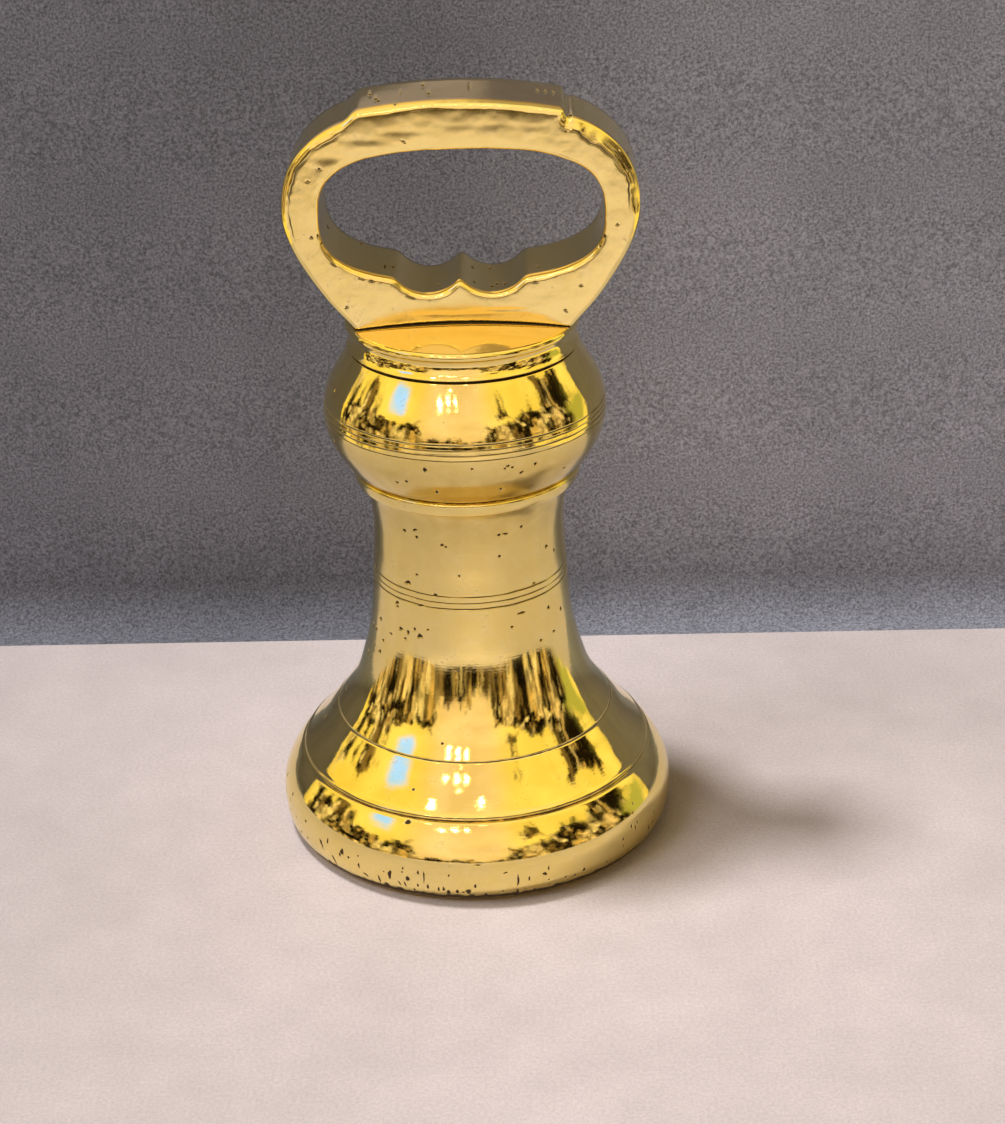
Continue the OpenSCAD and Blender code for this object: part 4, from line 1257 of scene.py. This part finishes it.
# ---------------------------------------------------------------- light
def disk_light(name, src, aim, size, energy, color):
    data = bpy.data.lights.new(name, "AREA")
    data.shape = "DISK"
    data.size = size
    data.energy = energy
    data.color = color
    ob = bpy.data.objects.new(name, data)
    scene.collection.objects.link(ob)
    src, aim = np.array(src), np.array(aim)
    zc = (src - aim) / np.linalg.norm(src - aim)
    xc = np.cross([0, 1.0, 0], zc)
    xc /= np.linalg.norm(xc)
    yc = np.cross(zc, xc)
    ob.matrix_world = Matrix(((xc[0], yc[0], zc[0], src[0]), (xc[1], yc[1], zc[1], src[1]),
                              (xc[2], yc[2], zc[2], src[2]), (0, 0, 0, 1)))
    ob.visible_glossy = False
    return ob


disk_light("overhead", (-0.40, 0.11, 1.45), (0, 0, 0.0), 0.24, 16.5, (1.0, 0.97, 0.95))
disk_light("key", (-0.80, -0.42, 1.10), (0, 0, 0.08), 0.80, 7.0, (1.0, 0.96, 0.93))

world = bpy.data.worlds.new("studio")
scene.world = world
world.use_nodes = True
t = Tree(world.node_tree)
wout = t.node("ShaderNodeOutputWorld")
bg = t.node("ShaderNodeBackground")
direction = t.node("ShaderNodeTexCoord").outputs["Generated"]
dx, dy, dz = t.xyz(direction)
elev = t.math("MULTIPLY", t.math("ARCSINE", dz), 57.29578)
azim = t.math("MULTIPLY", t.math("ARCTAN2", dx, t.math("MULTIPLY", dy, -1.0)), 57.29578)


def wn(ka, ke, seed, detail=3, rough=0.6, distort=0.0):
    return t.noise(t.join(t.math("MULTIPLY", azim, ka), t.math("MULTIPLY", elev, ke), seed), 1.0, detail, rough, distort)


# Directions wander a little, so that nothing in the room has a ruled edge
w_az = t.math("ADD", azim, t.math("MULTIPLY", t.math("SUBTRACT", wn(0.10, 0.05, 11.0), 0.5), 26.0))
w_el = t.math("ADD", elev, t.math("MULTIPLY", t.math("SUBTRACT", wn(0.12, 0.06, 21.0, 4, 0.65), 0.5), 34.0))


def block(az0, el0, wa, we, soft=1.5, a=None, e=None):
    ma = t.fit(t.math("ABSOLUTE", t.math("SUBTRACT", a or w_az, az0)), wa - soft, wa + soft, 1.0, 0.0, smooth=True)
    me = t.fit(t.math("ABSOLUTE", t.math("SUBTRACT", e or w_el, el0)), we - soft, we + soft, 1.0, 0.0, smooth=True)
    return t.math("MULTIPLY", ma, me)


def boxes(wide, tall, seed, loose):
    """A random value for each of many upright boxes in the room, with ragged edges."""
    a = t.math("ADD", azim, t.math("MULTIPLY", t.math("SUBTRACT", wn(0.35, 0.10, seed + 3.0, 4, 0.7), 0.5), loose))
    b = t.math("ADD", elev, t.math("MULTIPLY", t.math("SUBTRACT", wn(0.20, 0.30, seed + 5.0, 4, 0.7), 0.5), 2.5 * loose))
    n = t.node("ShaderNodeTexVoronoi", voronoi_dimensions="3D", feature="F1", distance="CHEBYCHEV")
    t.put(t.join(t.math("DIVIDE", a, wide), t.math("DIVIDE", b, tall), seed), n.inputs["Vector"])
    n.inputs["Scale"].default_value = 1.0
    n.inputs["Randomness"].default_value = 0.9
    return t.xyz(n.outputs["Color"])


big_r, big_g, big_b = boxes(5.5, 17.0, 2.4, 3.0)
sml_r, sml_g, sml_b = boxes(2.1, 6.5, 7.9, 2.0)
PALETTE = [(0.0, (0.012, 0.008, 0.004)), (0.34, (0.020, 0.013, 0.006)), (0.42, (0.11, 0.07, 0.03)),
           (0.50, (0.42, 0.27, 0.11)), (0.58, (0.95, 0.64, 0.24)), (0.70, (1.10, 0.84, 0.50)),
           (0.80, (0.30, 0.21, 0.10)), (0.88, (1.25, 1.02, 0.62)), (1.0, (0.80, 0.60, 0.16))]
dark_things = t.ramp(big_r, PALETTE, "CONSTANT")
dark_things = t.mix(t.fit(sml_g, 0.55, 0.60, 0.0, 0.75), dark_things, t.ramp(sml_r, PALETTE, "CONSTANT"))
blotch = wn(0.22, 0.12, 14.0, 5, 0.7, 0.6)
dark_things = t.mix(1.0, dark_things, t.mix(t.fit(blotch, 0.35, 0.65), (0.35, 0.33, 0.28), (1.25, 1.22, 1.15)), "MULTIPLY")
# walls and ceiling: yellow to the sides, paler in the middle
mid_m = t.fit(t.math("ABSOLUTE", t.math("SUBTRACT", azim, -8.0)), 16.0, 46.0, 1.0, 0.0, smooth=True)
sheen = wn(0.03, 0.05, 4.0, 2, 0.5)
yellow = t.mix(t.fit(sheen, 0.35, 0.65), (1.12, 0.86, 0.20), (1.34, 1.06, 0.34))
peach = t.mix(t.fit(sheen, 0.35, 0.65), (1.02, 0.76, 0.52), (1.22, 0.96, 0.72))
bright = t.mix(mid_m, yellow, peach)
bright = t.mix(t.fit(elev, 50.0, 72.0, smooth=True), bright, (1.20, 1.02, 0.62))
col = bright
for az0, el0, wa, we in ((-74, 0, 38, 19), (-9, -16, 27, 21), (38, 2, 20, 21), (72, 8, 30, 22), (35, 35, 7, 5), (-88, 20, 9, 7),
                         (78, 32, 8, 6), (-44, 18, 6, 6)):
    col = t.mix(block(az0, el0, wa, we), col, dark_things)
col = t.mix(block(104.0, 2.0, 7.0, 13.0, 4.0), col, (0.56, 0.55, 0.13))
# behind and at the far sides: a dim wall under a bright ceiling
back_m = t.fit(t.math("ABSOLUTE", azim), 112.0, 124.0, smooth=True)
dim = t.ramp(t.fit(elev, 0.0, 90.0), [(0.0, (0.13, 0.12, 0.13)), (0.22, (0.36, 0.31, 0.36)), (0.29, (0.40, 0.32, 0.30)),
                                      (0.36, (1.02, 0.68, 0.28)), (0.60, (1.05, 0.84, 0.42)), (1.0, (1.20, 1.02, 0.62))])
dim = t.mix(1.0, dim, t.mix(t.math("GREATER_THAN", azim, 0.0), (1.0, 1.0, 1.0), (0.46, 0.46, 0.48)), "MULTIPLY")
col = t.mix(back_m, col, dim)
# the floor goes on below the room, to the front
low_front = t.math("MULTIPLY", t.fit(elev, -15.2, -14.0, 1.0, 0.0, smooth=True),
                   t.math("LESS_THAN", t.math("ABSOLUTE", azim), 50.0))
col = t.mix(low_front, col, (1.05, 0.86, 0.77))
col = t.mix(t.math("MULTIPLY", block(-64.0, 34.5, 7.6, 4.6, 3.4, azim, elev), 0.97), col, (0.50, 1.05, 3.6))
for az0, el0, half, power in ((-24.0, 41.0, 1.5, 16.0), (-15.5, 42.5, 1.5, 18.0), (-7.5, 43.0, 1.3, 15.0),
                              (-38.0, 52.0, 2.0, 16.0), (4.0, 54.0, 1.8, 12.0), (-14.0, 47.5, 1.1, 10.0)):
    e_, a_ = math.radians(el0), math.radians(az0)
    v = (math.cos(e_) * math.sin(a_), -math.cos(e_) * math.cos(a_), math.sin(e_))
    dot = t.vec("DOT_PRODUCT", direction, v)
    spot = t.fit(dot, math.cos(math.radians(half)), math.cos(math.radians(half * 0.5)), smooth=True)
    col = t.mix(spot, col, (power, power * 0.93, power * 0.75))
path = t.node("ShaderNodeLightPath")
col = t.mix(path.outputs["Is Camera Ray"], col, (0.50, 0.47, 0.46))
t.put(col, bg.inputs["Color"])
t.put(t.fit(path.outputs["Is Diffuse Ray"], 0.0, 1.0, 1.0, 0.16), bg.inputs["Strength"])
t.t.links.new(bg.outputs[0], wout.inputs[0])

scene.view_settings.view_transform = "Standard"
scene.view_settings.look = "None"
scene.view_settings.exposure = 0.0
scene.view_settings.gamma = 1.0
